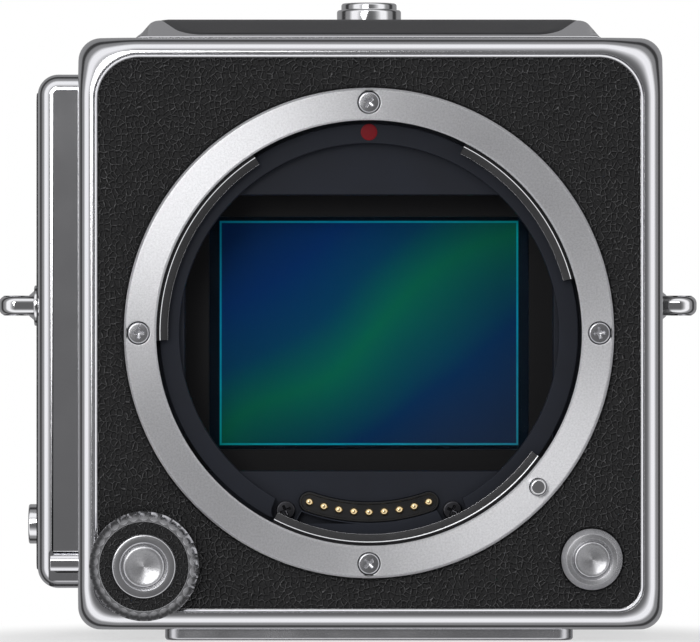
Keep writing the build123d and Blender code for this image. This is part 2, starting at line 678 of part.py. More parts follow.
def name_strip():
    """Dark strip on the ridge's slope and deck. It is left bare."""
    layer = side_slab(ridge_profile(0), -BODY_WIDTH, BODY_WIDTH)
    layer -= side_slab(ridge_profile(STRIP_T), -BODY_WIDTH, BODY_WIDTH)
    front = RIDGE_FRONT_Y + STRIP_FRONT_MARGIN
    outline = Polyline(
        (-STRIP_FRONT_HALF, front), (-STRIP_DECK_HALF, RIDGE_DECK_Y), (-STRIP_DECK_HALF, BODY_REAR_Y),
        (STRIP_DECK_HALF, BODY_REAR_Y), (STRIP_DECK_HALF, RIDGE_DECK_Y), (STRIP_FRONT_HALF, front), close=True)
    plan = make_face(outline)
    plan = fillet(plan.vertices().group_by(Axis.Y)[0], STRIP_CORNER_R)
    cut = level_slab(plan, HALF_H, RIDGE_DECK_Z + OVERRUN)
    rounded = slab(ridge_section(RIDGE_DECK_Z), RIDGE_FRONT_Y, BODY_REAR_Y)
    return layer & cut & rounded


def top_ridge():
    """Raised ridge on the body's top, with the seat of the name strip."""
    ridge = side_slab(ridge_profile(0), -BODY_WIDTH, BODY_WIDTH)
    ridge &= slab(ridge_section(RIDGE_DECK_Z), RIDGE_FRONT_Y, BODY_REAR_Y)
    return ridge - name_strip()


def side_cheek():
    """Shell that stands out on the left of the body and carries the left strap lug."""
    outline = Rectangle(CHEEK_OUT, CHEEK_TOP_Z - CHEEK_BOTTOM_Z)
    outline = fillet(outline.vertices().group_by(Axis.X)[0], CHEEK_CORNER_R)
    mid_x = -HALF_W - CHEEK_OUT / 2
    mid_z = (CHEEK_TOP_Z + CHEEK_BOTTOM_Z) / 2
    cheek = slab(Pos(mid_x, mid_z) * outline, CHEEK_FRONT_Y, BODY_REAR_Y)
    front_edges = cheek.edges().group_by(Axis.Y)[0]
    outer = [e for e in front_edges if e.center().X < -HALF_W - FIT]
    cheek = fillet(outer, CHEEK_EDGE_R)
    cheek -= block(CHEEK_X + CHEEK_WALL, -HALF_W - CHEEK_WALL, CHEEK_FRONT_Y + CHEEK_EDGE_R, BODY_REAR_Y + OVERRUN,
                   CHEEK_BOTTOM_Z + CHEEK_EDGE_R, CHEEK_TOP_Z - CHEEK_EDGE_R)
    groove = block(CHEEK_X + CHEEK_BLOCK_MARGIN, -HALF_W + OVERRUN, CHEEK_FRONT_Y - OVERRUN,
                   CHEEK_FRONT_Y + CHEEK_GROOVE_DEPTH, CHEEK_GROOVE_Z - CHEEK_GROOVE_H, CHEEK_GROOVE_Z)
    seat = block(CHEEK_X + CHEEK_BLOCK_MARGIN, -HALF_W + OVERRUN, CHEEK_FRONT_Y - OVERRUN,
                 CHEEK_FRONT_Y + CHEEK_GROOVE_DEPTH, CHEEK_GROOVE_Z, CHEEK_GROOVE_Z + CHEEK_BLOCK_H)
    stud_hole = side_slab(Pos(LUG_Y, LUG_Z) * Circle(LUG_STUD_R + FIT),
                          CHEEK_X - OVERRUN, CHEEK_X + CHEEK_EDGE_R)
    return cheek - groove - seat - stud_hole


def cheek_block():
    """Rounded block that closes the cheek's flat front at its lower end."""
    body = block(CHEEK_X + CHEEK_BLOCK_MARGIN + SEAT_GAP, -HALF_W - SEAT_GAP, CHEEK_FRONT_Y - CHEEK_BLOCK_PROUD,
                 CHEEK_FRONT_Y + CHEEK_GROOVE_DEPTH, CHEEK_GROOVE_Z, CHEEK_GROOVE_Z + CHEEK_BLOCK_H)
    upper = body.edges().filter_by(Axis.X).group_by(Axis.Z)[-1].sort_by(Axis.Y)[0]
    body = fillet(upper, CHEEK_GROOVE_DEPTH + CHEEK_BLOCK_PROUD / 2)
    corner = body.edges().filter_by(Axis.Z).group_by(Axis.X)[0].sort_by(Axis.Y)[0]
    return fillet(corner, CHEEK_BLOCK_PROUD)


def strap_lug(side):
    """Stud, round flange and a flat loop with a hole for the strap's ring."""
    x = HALF_W if side > 0 else -CHEEK_X
    flange = side_slab(Circle(LUG_FLANGE_R), x, x + LUG_FLANGE_T)
    tip = x + LUG_REACH - LUG_LOOP_R
    plan = make_hull((Pos(tip, 0) * Circle(LUG_LOOP_R)).edges()
                     + (Pos(x + LUG_FLANGE_T / 2, 0) * Rectangle(LUG_FLANGE_T, 2 * LUG_LOOP_R - LUG_ROUND)).edges())
    loop = level_slab(plan, -LUG_T / 2, LUG_T / 2)
    rims = [e for e in loop.edges().group_by(Axis.Z)[0] + loop.edges().group_by(Axis.Z)[-1]
            if e.center().X > x + LUG_FLANGE_T]
    loop = fillet(rims, LUG_ROUND)
    lug = flange + loop
    lug -= level_slab(Pos(tip, 0) * Circle(LUG_HOLE_R), -LUG_T, LUG_T)
    lug += side_slab(Circle(LUG_STUD_R), x - (LEDGE + BEZEL_SIDE if side > 0 else CHEEK_WALL), x)
    if side < 0:
        lug = mirror(lug, about=Plane.YZ)
    return Pos(0, LUG_Y, LUG_Z) * lug


def base_plate(y_front, y_rear, corner_r):
    """Flat plate under the camera; its lower face is what the camera stands on."""
    outline = Pos(0, (y_front + y_rear) / 2) * RectangleRounded(2 * BASE_HALF, y_rear - y_front, corner_r)
    plate = level_slab(outline, -HALF_H - BASE_T, -HALF_H)
    return fillet(plate.edges().group_by(Axis.Z)[0], BASE_EDGE_R)


def tripod_plate():
    """Plate under the body, with the tripod bush's hole and two screw seats."""
    plate = base_plate(BASE_FRONT_Y, BASE_REAR_Y, BASE_CORNER_R)
    plate -= level_slab(Pos(0, BUSH_Y) * Circle(BUSH_R + FIT), -HALF_H - BASE_T - OVERRUN, -HALF_H + OVERRUN)
    for x, y in base_screw_places():
        seat = Pos(x, y) * Circle(SCREW_HEAD_R + SEAT_GAP)
        shank = Pos(x, y) * Circle(SCREW_SHANK_R + FIT)
        floor = -HALF_H - BASE_T + SCREW_SINK + SCREW_HEAD_T
        plate -= level_slab(seat, -HALF_H - BASE_T - OVERRUN, floor)
        plate -= level_slab(shank, -HALF_H - BASE_T, -HALF_H + OVERRUN)
    return plate


def base_screw_places():
    """X and Y of the four screws in the tripod plate."""
    depths = (BASE_FRONT_Y + BASE_SCREW_INSET, BASE_REAR_Y - BASE_SCREW_INSET)
    return [(x, y) for x in (-BASE_SCREW_X, BASE_SCREW_X) for y in depths]


def tripod_bush():
    """Threaded bush in the bottom plate; its thread is a plain wall at the core size."""
    low = -HALF_H - BASE_T + SCREW_SINK
    bush = level_slab(Pos(0, BUSH_Y) * Circle(BUSH_R), low, low + BUSH_HEIGHT)
    return bush - level_slab(Pos(0, BUSH_Y) * Circle(BUSH_BORE_R), low - OVERRUN, low + BUSH_HEIGHT + OVERRUN)


def body_feet():
    """Two small feet under the body's outer ends."""
    feet = Part()
    for x in (-FOOT_X, FOOT_X):
        foot = level_slab(Pos(x, FOOT_Y) * Circle(FOOT_R), -HALF_H - FOOT_T, -HALF_H)
        feet += fillet(foot.edges().group_by(Axis.Z)[0], FOOT_T / 2)
    return feet


# Lens mount, throat and contacts

def bayonet_tab(start, end):
    """One tab: a sloped front, a rounded inner edge and a flat back, turned through its span."""
    bottom = TAB_Y + TAB_T
    root = RING_BORE_R + RING_RELIEF + FIT
    section = Polyline(
        (root, TAB_Y - TAB_SLOPE), (RING_BORE_R, TAB_Y - TAB_SLOPE), (RING_BORE_R - TAB_SLOPE, TAB_Y),
        (TAB_R, TAB_Y), (TAB_R, bottom), (root, bottom), close=True)
    face = make_face(section)
    inner = face.vertices().group_by(Axis.X)[0].sort_by(Axis.Y)[0]
    face = fillet(inner, TAB_ROUND)
    return Rot(0, -end, 0) * revolve(face, Axis.Y, end - start)


def lens_mount_ring():
    """Flange with its hub, three bayonet tabs, screw seats and the lock pin's hole."""
    ring = disc(RING_R, 0, PLATE_Y)
    ring = chamfer(ring.edges().group_by(Axis.Y)[0], RING_CHAMFER)
    ring += disc(RING_HUB_R, PLATE_Y, PLATE_REAR_Y)
    ring -= disc(RING_BORE_R, -OVERRUN, PLATE_REAR_Y + OVERRUN)
    ring -= disc(RING_BORE_R + RING_RELIEF, TAB_Y - TAB_SLOPE, PLATE_REAR_Y + OVERRUN)
    for start, end in TAB_SPANS:
        ring += bayonet_tab(start, end)
    for quarter in range(4):
        x, z = on_circle(SCREW_CIRCLE_R, 90 * quarter)
        ring -= disc(SCREW_HEAD_R + SEAT_GAP, -OVERRUN, SCREW_SINK + SCREW_HEAD_T, x, z)
        ring -= disc(SCREW_SHANK_R + FIT, -OVERRUN, PLATE_Y + OVERRUN, x, z)
    pin_x, pin_z = on_circle(LOCK_PIN_CIRCLE_R, LOCK_PIN_ANGLE)
    return ring - disc(LOCK_PIN_R + FIT, -OVERRUN, PLATE_REAR_Y + OVERRUN, pin_x, pin_z)


def cross_head_screw(turn):
    """Screw along +Y with its head's face at y = 0."""
    head = disc(SCREW_HEAD_R, 0, SCREW_HEAD_T)
    head = fillet(head.edges().group_by(Axis.Y)[0], SCREW_SINK)
    head += disc(SCREW_SHANK_R, SCREW_HEAD_T, SCREW_LENGTH)
    return head - cross_recess(CROSS_SPAN, CROSS_WIDTH, CROSS_DEPTH, turn)


def body_screws():
    """Four screws on the mount ring and four in the tripod plate."""
    screws = Part()
    for quarter, turn in enumerate(SCREW_TURNS):
        x, z = on_circle(SCREW_CIRCLE_R, 90 * quarter)
        screws += Pos(x, SCREW_SINK, z) * cross_head_screw(turn)
    for (x, y), turn in zip(base_screw_places(), SCREW_TURNS):
        screws += Pos(x, y, -HALF_H - BASE_T + SCREW_SINK) * Rot(90, 0, 0) * cross_head_screw(turn)
    return screws


def contact_outline(grow=0.0):
    """Front-view outline of the contact block."""
    half_angle = CONTACT_STEP_ANGLE * (CONTACT_COUNT - 1) / 2
    return arc_slot(CONTACT_R, CONTACT_HALF_W + grow, half_angle)


def light_baffle():
    """Black throat: a step ring, a floor with the wide opening, and a box that shades the sensor."""
    flange_rear = PLATE_REAR_Y + BAFFLE_FLANGE_T
    baffle = disc(BAFFLE_R, BAFFLE_Y, PLATE_REAR_Y) + disc(BAFFLE_FLANGE_R, PLATE_REAR_Y, flange_rear)
    walls = Rectangle(2 * (BOX_HALF_W + BOX_WALL), 2 * (BOX_HALF_H + BOX_WALL))
    baffle += slab(walls, flange_rear, BOX_REAR_Y)
    baffle -= disc(BAFFLE_STEP_R, BAFFLE_Y - OVERRUN, BAFFLE_FLOOR_Y)
    opening = Rectangle(2 * BOX_HALF_W, 2 * BOX_HALF_H)
    baffle -= slab(opening & Circle(BAFFLE_STEP_R), BAFFLE_Y, flange_rear + OVERRUN)
    baffle -= slab(opening, flange_rear, BOX_REAR_Y + OVERRUN)
    baffle -= slab(contact_outline(SEAT_GAP), BAFFLE_Y - OVERRUN, BOX_REAR_Y)
    for angle in BLOCK_SCREW_ANGLES:
        x, z = on_circle(BLOCK_SCREW_R, angle)
        baffle -= disc(BLOCK_SCREW_HEAD_R + BLOCK_SCREW_NOTCH, BAFFLE_Y - OVERRUN, BAFFLE_FLOOR_Y, x, z)
        baffle -= disc(SCREW_SHANK_R + FIT, BAFFLE_Y, BOX_REAR_Y, x, z)
    pin_x, pin_z = on_circle(LOCK_PIN_CIRCLE_R, LOCK_PIN_ANGLE)
    baffle -= disc(LOCK_PIN_R + PART_GAP, BAFFLE_Y, flange_rear + OVERRUN, pin_x, pin_z)
    for quarter in range(4):
        x, z = on_circle(SCREW_CIRCLE_R, 90 * quarter)
        baffle -= disc(SCREW_SHANK_R + SEAT_GAP, BAFFLE_Y, flange_rear + OVERRUN, x, z)
    return baffle - index_dot()


def index_dot():
    """Red dot that shows how to offer up a lens."""
    face = BAFFLE_Y - INDEX_DOT_PROUD
    return disc(INDEX_DOT_R, face, face + INDEX_DOT_T, 0, INDEX_DOT_Z)


def contact_places():
    """X and Z of each contact pin."""
    first = DOWN - CONTACT_STEP_ANGLE * (CONTACT_COUNT - 1) / 2
    return [on_circle(CONTACT_R, first + CONTACT_STEP_ANGLE * k) for k in range(CONTACT_COUNT)]


def contact_block():
    """Insulating block for the pins, with a raised rim."""
    rear = CONTACT_Y + CONTACT_DEPTH
    part = slab(contact_outline(), CONTACT_Y, rear)
    part -= slab(contact_outline(-CONTACT_RIM), CONTACT_Y - OVERRUN, CONTACT_Y + CONTACT_RIM_H)
    for x, z in contact_places():
        part -= disc(CONTACT_PIN_R + FIT, CONTACT_Y, rear + OVERRUN, x, z)
    return part


def contact_pins():
    """Nine sprung pins with domed tips."""
    pins = Part()
    face = CONTACT_Y + CONTACT_RIM_H
    for x, z in contact_places():
        pin = disc(CONTACT_PIN_R, face - CONTACT_PROUD, CONTACT_Y + CONTACT_DEPTH)
        pin = fillet(pin.edges().group_by(Axis.Y)[0], CONTACT_PIN_R / 2)
        pins += Pos(x, 0, z) * pin
    return pins


def block_screws():
    """Two black screws beside the contact block."""
    screws = Part()
    for angle in BLOCK_SCREW_ANGLES:
        x, z = on_circle(BLOCK_SCREW_R, angle)
        head = disc(BLOCK_SCREW_HEAD_R, 0, BLOCK_SCREW_HEAD_T)
        head = fillet(head.edges().group_by(Axis.Y)[0], SCREW_SINK)
        head += disc(SCREW_SHANK_R, BLOCK_SCREW_HEAD_T, BLOCK_SCREW_LENGTH)
        head -= cross_recess(CROSS_SPAN, CROSS_WIDTH, CROSS_DEPTH, angle)
        screws += Pos(x, BAFFLE_FLOOR_Y - BLOCK_SCREW_HEAD_T, z) * head
    return screws


# Control dial, shutter button, lens release

def control_dial():
    """Fluted dial that turns round the fixed collar; its face is recessed for the leather ring."""
    dial = disc(DIAL_R, DIAL_FRONT_Y, DIAL_REAR_Y)
    dial = chamfer(dial.edges().group_by(Axis.Y)[0], DIAL_BEVEL)
    flute = Cylinder(DIAL_FLUTE_R, 4 * DIAL_BEVEL)
    lift = (DIAL_FLUTE_R - DIAL_FLUTE_DEPTH) / math.sqrt(2)
    middle = DIAL_BEVEL / 2
    upright = Rot(90, 0, 0) * flute
    tilted = Pos(DIAL_R - middle + lift, DIAL_FRONT_Y + middle - lift, 0) * Rot(0, 0, -45) * upright
    for k in range(DIAL_FLUTES):
        dial -= Rot(0, 360 * k / DIAL_FLUTES, 0) * tilted
    dial -= disc(DIAL_INLAY_R, DIAL_FRONT_Y - OVERRUN, DIAL_FRONT_Y + DIAL_INLAY_T)
    dial -= disc(COLLAR_SLEEVE_R + FIT, DIAL_FRONT_Y - OVERRUN, DIAL_REAR_Y + OVERRUN)
    return Pos(DIAL_X, 0, DIAL_Z) * dial


def dial_leather():
    """Leather ring in the dial's face."""
    ring = disc(DIAL_INLAY_R - SEAT_GAP, DIAL_FRONT_Y, DIAL_FRONT_Y + DIAL_INLAY_T)
    ring -= disc(COLLAR_SLEEVE_R + PART_GAP, DIAL_FRONT_Y - OVERRUN, DIAL_REAR_Y)
    return Pos(DIAL_X, 0, DIAL_Z) * ring


def dial_collar():
    """Fixed sleeve that the dial turns on; the rim keeps the dial in, the bore guides the shutter button."""
    rim_rear = DIAL_FRONT_Y - FIT
    collar = disc(COLLAR_R, COLLAR_FRONT_Y, rim_rear)
    collar = fillet(collar.edges().group_by(Axis.Y)[0], SEAT_GAP)
    collar += disc(COLLAR_SLEEVE_R, rim_rear, PLATE_REAR_Y)
    collar += disc(DIAL_FOOT_R, DIAL_REAR_Y + FIT, LEATHER_Y)
    collar -= disc(SHUTTER_R + FIT, COLLAR_FRONT_Y - OVERRUN, PLATE_REAR_Y - COLLAR_FLOOR_T)
    collar -= disc(SHUTTER_STEM_R + FIT, COLLAR_FRONT_Y, PLATE_REAR_Y + OVERRUN)
    return Pos(DIAL_X, 0, DIAL_Z) * collar


def shutter_button():
    """Dished button on a stem."""
    cap_rear = SHUTTER_FRONT_Y + SHUTTER_CAP_T
    cap = dished_cap(SHUTTER_R, SHUTTER_CAP_T, SHUTTER_DISH, SHUTTER_R - 2 * SHUTTER_DISH, SHUTTER_DISH)
    button = Pos(0, SHUTTER_FRONT_Y, 0) * cap
    button += disc(SHUTTER_STEM_R, cap_rear, PLATE_REAR_Y + SHUTTER_TAIL)
    return Pos(DIAL_X, 0, DIAL_Z) * button


def release_collar():
    """Bevelled ring round the lens release button, with a sleeve through the front plate."""
    front = LEATHER_Y - RELEASE_COLLAR_RISE
    collar = disc(RELEASE_COLLAR_R, front, PLATE_Y)
    collar = chamfer(collar.edges().group_by(Axis.Y)[0], RELEASE_COLLAR_BEVEL)
    collar += disc(RELEASE_RING_R, PLATE_Y, PLATE_REAR_Y)
    collar -= disc(RELEASE_RING_R, front - OVERRUN, front + RELEASE_RING_STEP)
    collar -= disc(RELEASE_R + FIT, front, PLATE_REAR_Y + OVERRUN)
    return Pos(RELEASE_X, 0, RELEASE_Z) * collar


def release_button():
    """Dished button on the stem that pushes the bridge."""
    front = LEATHER_Y - RELEASE_COLLAR_RISE - RELEASE_PROUD
    cap_rear = front + RELEASE_CAP_T + RELEASE_PROUD
    cap = dished_cap(RELEASE_R, cap_rear - front, SHUTTER_DISH, RELEASE_R - 2 * SHUTTER_DISH, SHUTTER_DISH)
    button = Pos(0, front, 0) * cap
    button += disc(RELEASE_STEM_R, cap_rear, BRIDGE_Y)
    return Pos(RELEASE_X, 0, RELEASE_Z) * button


def lock_pin():
    """Pin that drops into a lens, riveted to the bridge that the release button pushes."""
    x, z = on_circle(LOCK_PIN_CIRCLE_R, LOCK_PIN_ANGLE)
    pin = disc(LOCK_PIN_R, -LOCK_PIN_PROUD, BRIDGE_Y)
    pin = Pos(x, 0, z) * fillet(pin.edges().group_by(Axis.Y)[0], LOCK_PIN_R / 4)
    ends = (Pos(x, z) * Circle(LOCK_PIN_R)).edges()
    ends += (Pos(RELEASE_X, RELEASE_Z) * Circle(BRIDGE_END_R)).edges()
    return pin + slab(make_hull(ends), BRIDGE_Y, BRIDGE_Y + BRIDGE_T)


def spring_cup():
    """Cup that the release spring pushes from, behind the bridge; its two legs stand on the front plate."""
    rear = CUP_FLOOR_Y + CUP_WALL
    legs = block(-CUP_HALF, CUP_HALF, PLATE_REAR_Y, rear, -CUP_HALF, CUP_HALF)
    inner = CUP_HALF - CUP_WALL
    legs -= block(-inner, inner, PLATE_REAR_Y - OVERRUN, CUP_FLOOR_Y, -2 * CUP_HALF, 2 * CUP_HALF)
    pin_x, pin_z = on_circle(LOCK_PIN_CIRCLE_R, LOCK_PIN_ANGLE)
    swing = math.degrees(math.atan2(RELEASE_Z - pin_z, RELEASE_X - pin_x))
    return Pos(RELEASE_X, 0, RELEASE_Z) * Rot(0, 90 - swing, 0) * legs


# Digital back

def back_profile(inset):
    """Side view of the back, in Y and Z, drawn in by inset: level at the front, drawn in towards the rear."""
    outline = Polyline(
        (BACK_FRONT_Y + inset, BACK_TOP_Z - inset), (BACK_BEND_Y, BACK_TOP_Z - inset),
        (BACK_REAR_Y - inset, BACK_REAR_TOP_Z - inset), (BACK_REAR_Y - inset, BACK_REAR_BOTTOM_Z + inset),
        (BACK_BEND_Y, -BACK_TOP_Z + inset), (BACK_FRONT_Y + inset, -BACK_TOP_Z + inset), close=True)
    face = make_face(outline)
    bends = [v for v in face.vertices() if abs(v.X - BACK_BEND_Y) < FIT]
    face = fillet(bends, BACK_BEND_R)
    return fillet(face.vertices().group_by(Axis.X)[-1], BACK_EDGE_R - inset / 2)


def back_form(inset):
    """Outer form of the back, drawn in by inset."""
    half = HALF_W - inset
    front, rear = BACK_FRONT_Y + inset, BACK_REAR_Y - inset
    plan = Pos(0, (front + rear) / 2) * Rectangle(2 * half, rear - front)
    plan = fillet(plan.vertices().group_by(Axis.Y)[-1], BACK_SIDE_EDGE_R - inset / 2)
    form = side_slab(back_profile(inset), -half, half)
    form &= level_slab(plan, -BODY_HEIGHT, BODY_HEIGHT)
    wing_plan = Polyline(
        (-half + OVERRUN, front), (WING_X + inset, front), (WING_X + inset, WING_END_Y - inset),
        (-half + OVERRUN, WING_END_Y - inset), close=True)
    wing = make_face(wing_plan)
    wing = fillet(wing.vertices().group_by(Axis.X)[0].sort_by(Axis.Y)[-1], WING_EDGE_R - inset)
    wing = level_slab(wing, WING_BOTTOM_Z + inset, WING_TOP_Z - inset)
    corners = wing.edges().filter_by(Axis.Y).group_by(Axis.X)[0]
    return form + fillet(corners, WING_CORNER_R - inset)


def battery_outline(grow):
    """Side view of the battery's opening."""
    return Pos(BATTERY_Y, BATTERY_Z) * RectangleRounded(BATTERY_W + 2 * grow, BATTERY_H + 2 * grow, BATTERY_R)


def cap_outline(grow=0.0):
    """Side view of the battery's cap."""
    return Pos(BATTERY_Y, BATTERY_Z) * RectangleRounded(CAP_W + 2 * grow, CAP_H + 2 * grow, CAP_R)


def door_outline(z_range, grow=0.0):
    """Side view of a door on the right."""
    low, high = z_range
    width = DOOR_REAR_Y - DOOR_FRONT_Y + 2 * grow
    return Pos((DOOR_FRONT_Y + DOOR_REAR_Y) / 2, (low + high) / 2) * Rectangle(width, high - low + 2 * grow)


def rear_panel_outline(inset):
    """Front-view outline of the rear panel, drawn in by inset."""
    height = REAR_PANEL_TOP_Z - REAR_PANEL_BOTTOM_Z
    middle = (REAR_PANEL_TOP_Z + REAR_PANEL_BOTTOM_Z) / 2
    outline = RectangleRounded(2 * (REAR_PANEL_HALF_W - inset), height - 2 * inset, REAR_PANEL_R - inset)
    return Pos(0, middle) * outline


def back_shell():
    """Housing of the back, open behind for the rear panel, with a pad under it to stand on."""
    shell = back_form(0) - back_form(BACK_WALL)
    panel_front = BACK_REAR_Y - REAR_PANEL_T
    shell -= slab(rear_panel_outline(0), panel_front, BACK_REAR_Y + OVERRUN)
    shell -= slab(rear_panel_outline(REAR_PANEL_LEDGE), panel_front - BACK_WALL, BACK_REAR_Y)
    front_in, front_out = BACK_FRONT_Y - OVERRUN, BACK_FRONT_Y + BACK_WALL + OVERRUN
    mouth = Rectangle(2 * (FRAME_HALF_W + SEAT_GAP), 2 * (FRAME_HALF_H + SEAT_GAP))
    shell -= slab(mouth, front_in, front_out)
    for x in (-HOOK_X, HOOK_X):
        slot = Rectangle(HOOK_W + LATCH_TRAVEL + 2 * PART_GAP, HOOK_H + 2 * PART_GAP)
        shell -= slab(Pos(x + LATCH_TRAVEL / 2, LATCH_Z) * slot, front_in, front_out)
        shell += block(x - TONGUE_W / 2, x + TONGUE_W / 2, REAR_PLATE_Y - TONGUE_REACH,
                       BACK_FRONT_Y + BACK_WALL / 2, TONGUE_Z - TONGUE_H / 2, TONGUE_Z + TONGUE_H / 2)
    stem_slot = Pos(LATCH_TRAVEL / 2, TOP_BUTTON_Y) * SlotCenterToCenter(LATCH_TRAVEL,
                                                                        2 * (TOP_BUTTON_STEM_R + PART_GAP))
    shell -= level_slab(stem_slot, BACK_TOP_Z - BACK_WALL - OVERRUN, BACK_TOP_Z + OVERRUN)
    shell -= side_slab(cap_outline(SEAT_GAP), WING_X - OVERRUN, WING_X + CAP_T)
    shell -= side_slab(battery_outline(BATTERY_GAP), WING_X - OVERRUN, WING_X + 2 * CAP_T)
    place = Pos(POWER_Y, POWER_Z)
    shell -= side_slab(place * Circle(POWER_R + FIT), WING_X - OVERRUN, WING_X + POWER_SEAT)
    shell -= side_slab(place * Circle(POWER_STEM_R + FIT), WING_X, WING_X + 2 * BACK_WALL)
    for z_range in (CARD_DOOR_Z, PORT_DOOR_Z):
        shell -= side_slab(door_outline(z_range, PART_GAP), HALF_W - DOOR_T - SEAT_GAP, HALF_W + OVERRUN)
        shell -= side_slab(door_outline(z_range, -DOOR_FRAME), HALF_W - 2 * BACK_WALL, HALF_W)
        shell -= door_hinge_relief(z_range)
    shell -= side_leather(BACK_FRONT_Y + SIDE_LEATHER_MARGIN / 2, BACK_SIDE_PANEL_END_Y)
    return shell + door_hinge_ears() + spring_post() + base_plate(PAD_FRONT_Y, PAD_REAR_Y, PAD_CORNER_R)


def spring_post():
    """Post behind the shell's front wall that the latch spring pushes from."""
    top = slider_top() - SLIDER_T - PART_GAP
    return block(SPRING_POST_X, SPRING_POST_X + SPRING_TAB_T, BACK_FRONT_Y + BACK_WALL / 2,
                 latch_spring_y() + LATCH_COIL_R + SPRING_TAB_T, top - SPRING_TAB_DROP, top)


def latch_spring_y():
    """Depth of the latch spring's axis."""
    return (SLIDER_FRONT_Y + SLIDER_REAR_Y) / 2


def latch_spring():
    """Spring that holds the slider to the left."""
    z = slider_top() - SLIDER_T - PART_GAP - SPRING_TAB_DROP / 2
    return coil((SPRING_TAB_X, latch_spring_y(), z), (1, 0, 0), SPRING_POST_X - SPRING_TAB_X, LATCH_COIL_R)


def door_axis():
    """Y and X of the doors' hinge axis."""
    return DOOR_FRONT_Y + DOOR_HINGE_R, HALF_W - DOOR_HINGE_R


def door_hinge_relief(z_range):
    """Room round a door's knuckles in the wall."""
    y, x = door_axis()
    relief = Pos(x, y) * Circle(DOOR_HINGE_R + PART_GAP)
    return level_slab(relief, z_range[0] - PART_GAP, z_range[1] + PART_GAP)


def door_hinge_ears():
    """Fixed knuckles at both ends of each door, part of the shell."""
    y, x = door_axis()
    ears = Part()
    for low, high in (CARD_DOOR_Z, PORT_DOOR_Z):
        for z0, z1 in ((low - PART_GAP, low + DOOR_KNUCKLE_H), (high - DOOR_KNUCKLE_H, high + PART_GAP)):
            ear = level_slab(Pos(x, y) * Circle(DOOR_HINGE_R), z0, z1)
            ear += block(x - DOOR_T, x, y - DOOR_HINGE_R - PART_GAP, y, z0, z1)
            ear -= level_slab(Pos(x, y) * Circle(DOOR_PIN_R), z0 - OVERRUN, z1 + OVERRUN)
            ears += ear
    return ears


def door(z_range):
    """Side door with its knuckle and a finger notch in the free edge."""
    y, x = door_axis()
    low, high = z_range
    knuckle_low = low + DOOR_KNUCKLE_H + HINGE_SIDE_GAP
    knuckle_high = high - DOOR_KNUCKLE_H - HINGE_SIDE_GAP
    panel = block(HALF_W - DOOR_T, HALF_W, y + DOOR_HINGE_R + PART_GAP, DOOR_REAR_Y, low, high)
    outer = panel.edges().filter_by(Axis.Z).group_by(Axis.X)[-1]
    panel = fillet(outer, DOOR_EDGE_R)
    panel += level_slab(Pos(x, y) * Circle(DOOR_HINGE_R), knuckle_low, knuckle_high)
    panel += block(x - DOOR_T + DOOR_HINGE_R, x + DOOR_HINGE_R, y, y + 2 * DOOR_HINGE_R,
                   knuckle_low, knuckle_high)
    panel -= level_slab(Pos(x, y) * Circle(DOOR_PIN_R + FIT), knuckle_low - OVERRUN, knuckle_high + OVERRUN)
    middle = (low + high) / 2
    notch = Pos(HALF_W, DOOR_REAR_Y, middle) * Cylinder(DOOR_T / 2, DOOR_LIFT_W)
    return panel - notch


def top_cover():
    """Raised deck on the back, level with the body's ridge, slotted for the release button."""
    profile = Polyline(
        (BACK_FRONT_Y, BACK_TOP_Z), (BACK_FRONT_Y, RIDGE_DECK_Z),
        (TOP_COVER_END_Y - TOP_COVER_SLOPE, RIDGE_DECK_Z), (TOP_COVER_END_Y, BACK_TOP_Z), close=True)
    cover = side_slab(make_face(profile), -BODY_WIDTH, BODY_WIDTH)
    cover &= slab(ridge_section(RIDGE_DECK_Z, BACK_TOP_Z), BACK_FRONT_Y, TOP_COVER_END_Y)
    slot = SlotCenterToCenter(LATCH_TRAVEL, 2 * (TOP_BUTTON_STEM_R + PART_GAP))
    slot = Pos(LATCH_TRAVEL / 2, TOP_BUTTON_Y) * slot
    return cover - level_slab(slot, BACK_TOP_Z - OVERRUN, RIDGE_DECK_Z + OVERRUN)


def release_knob():
    """Stepped round button on top; it slides to the right to free the back."""
    foot = RIDGE_DECK_Z + SEAT_GAP
    knob = level_slab(Circle(TOP_BUTTON_R), foot, foot + TOP_BUTTON_H)
    knob = fillet(knob.edges().group_by(Axis.Z)[-1], TOP_BUTTON_EDGE_R)
    cap = level_slab(Circle(TOP_BUTTON_CAP_R), foot + TOP_BUTTON_H, foot + TOP_BUTTON_H + TOP_BUTTON_CAP_H)
    knob += fillet(cap.edges().group_by(Axis.Z)[-1], TOP_BUTTON_EDGE_R)
    knob += level_slab(Circle(TOP_BUTTON_STEM_R), slider_top(), foot)
    return Pos(0, TOP_BUTTON_Y, 0) * knob


def slider_top():
    """Height of the latch slider's upper face."""
    return BACK_TOP_Z - BACK_WALL - PART_GAP


def latch_slider():
    """Slider under the deck with the two hooks that hold the back to the body, and the spring's tab."""
    top = slider_top()
    slider = block(-SLIDER_HALF_W, SLIDER_HALF_W, SLIDER_FRONT_Y, SLIDER_REAR_Y, top - SLIDER_T, top)
    low = LATCH_Z - HOOK_H / 2
    barb_rear = REAR_PLATE_Y - PART_GAP / 2
    for x in (-HOOK_X, HOOK_X):
        left, right = x - HOOK_W / 2, x + HOOK_W / 2
        slider += block(left, right, SLIDER_FRONT_Y, SLIDER_FRONT_Y + HOOK_W, low, top - SLIDER_T / 2)
        slider += block(left, right, barb_rear - HOOK_BARB_T, SLIDER_FRONT_Y + HOOK_W, low, low + HOOK_H)
        slider += block(left - HOOK_BARB, right, barb_rear - HOOK_BARB_T, barb_rear, low, low + HOOK_H)
    tab_low = top - SLIDER_T - PART_GAP - SPRING_TAB_DROP
    half = LATCH_COIL_R + SPRING_WIRE_R
    return slider + block(SPRING_TAB_X - SPRING_TAB_T, SPRING_TAB_X, latch_spring_y() - half,
                          latch_spring_y() + half, tab_low, top - SLIDER_T / 2)


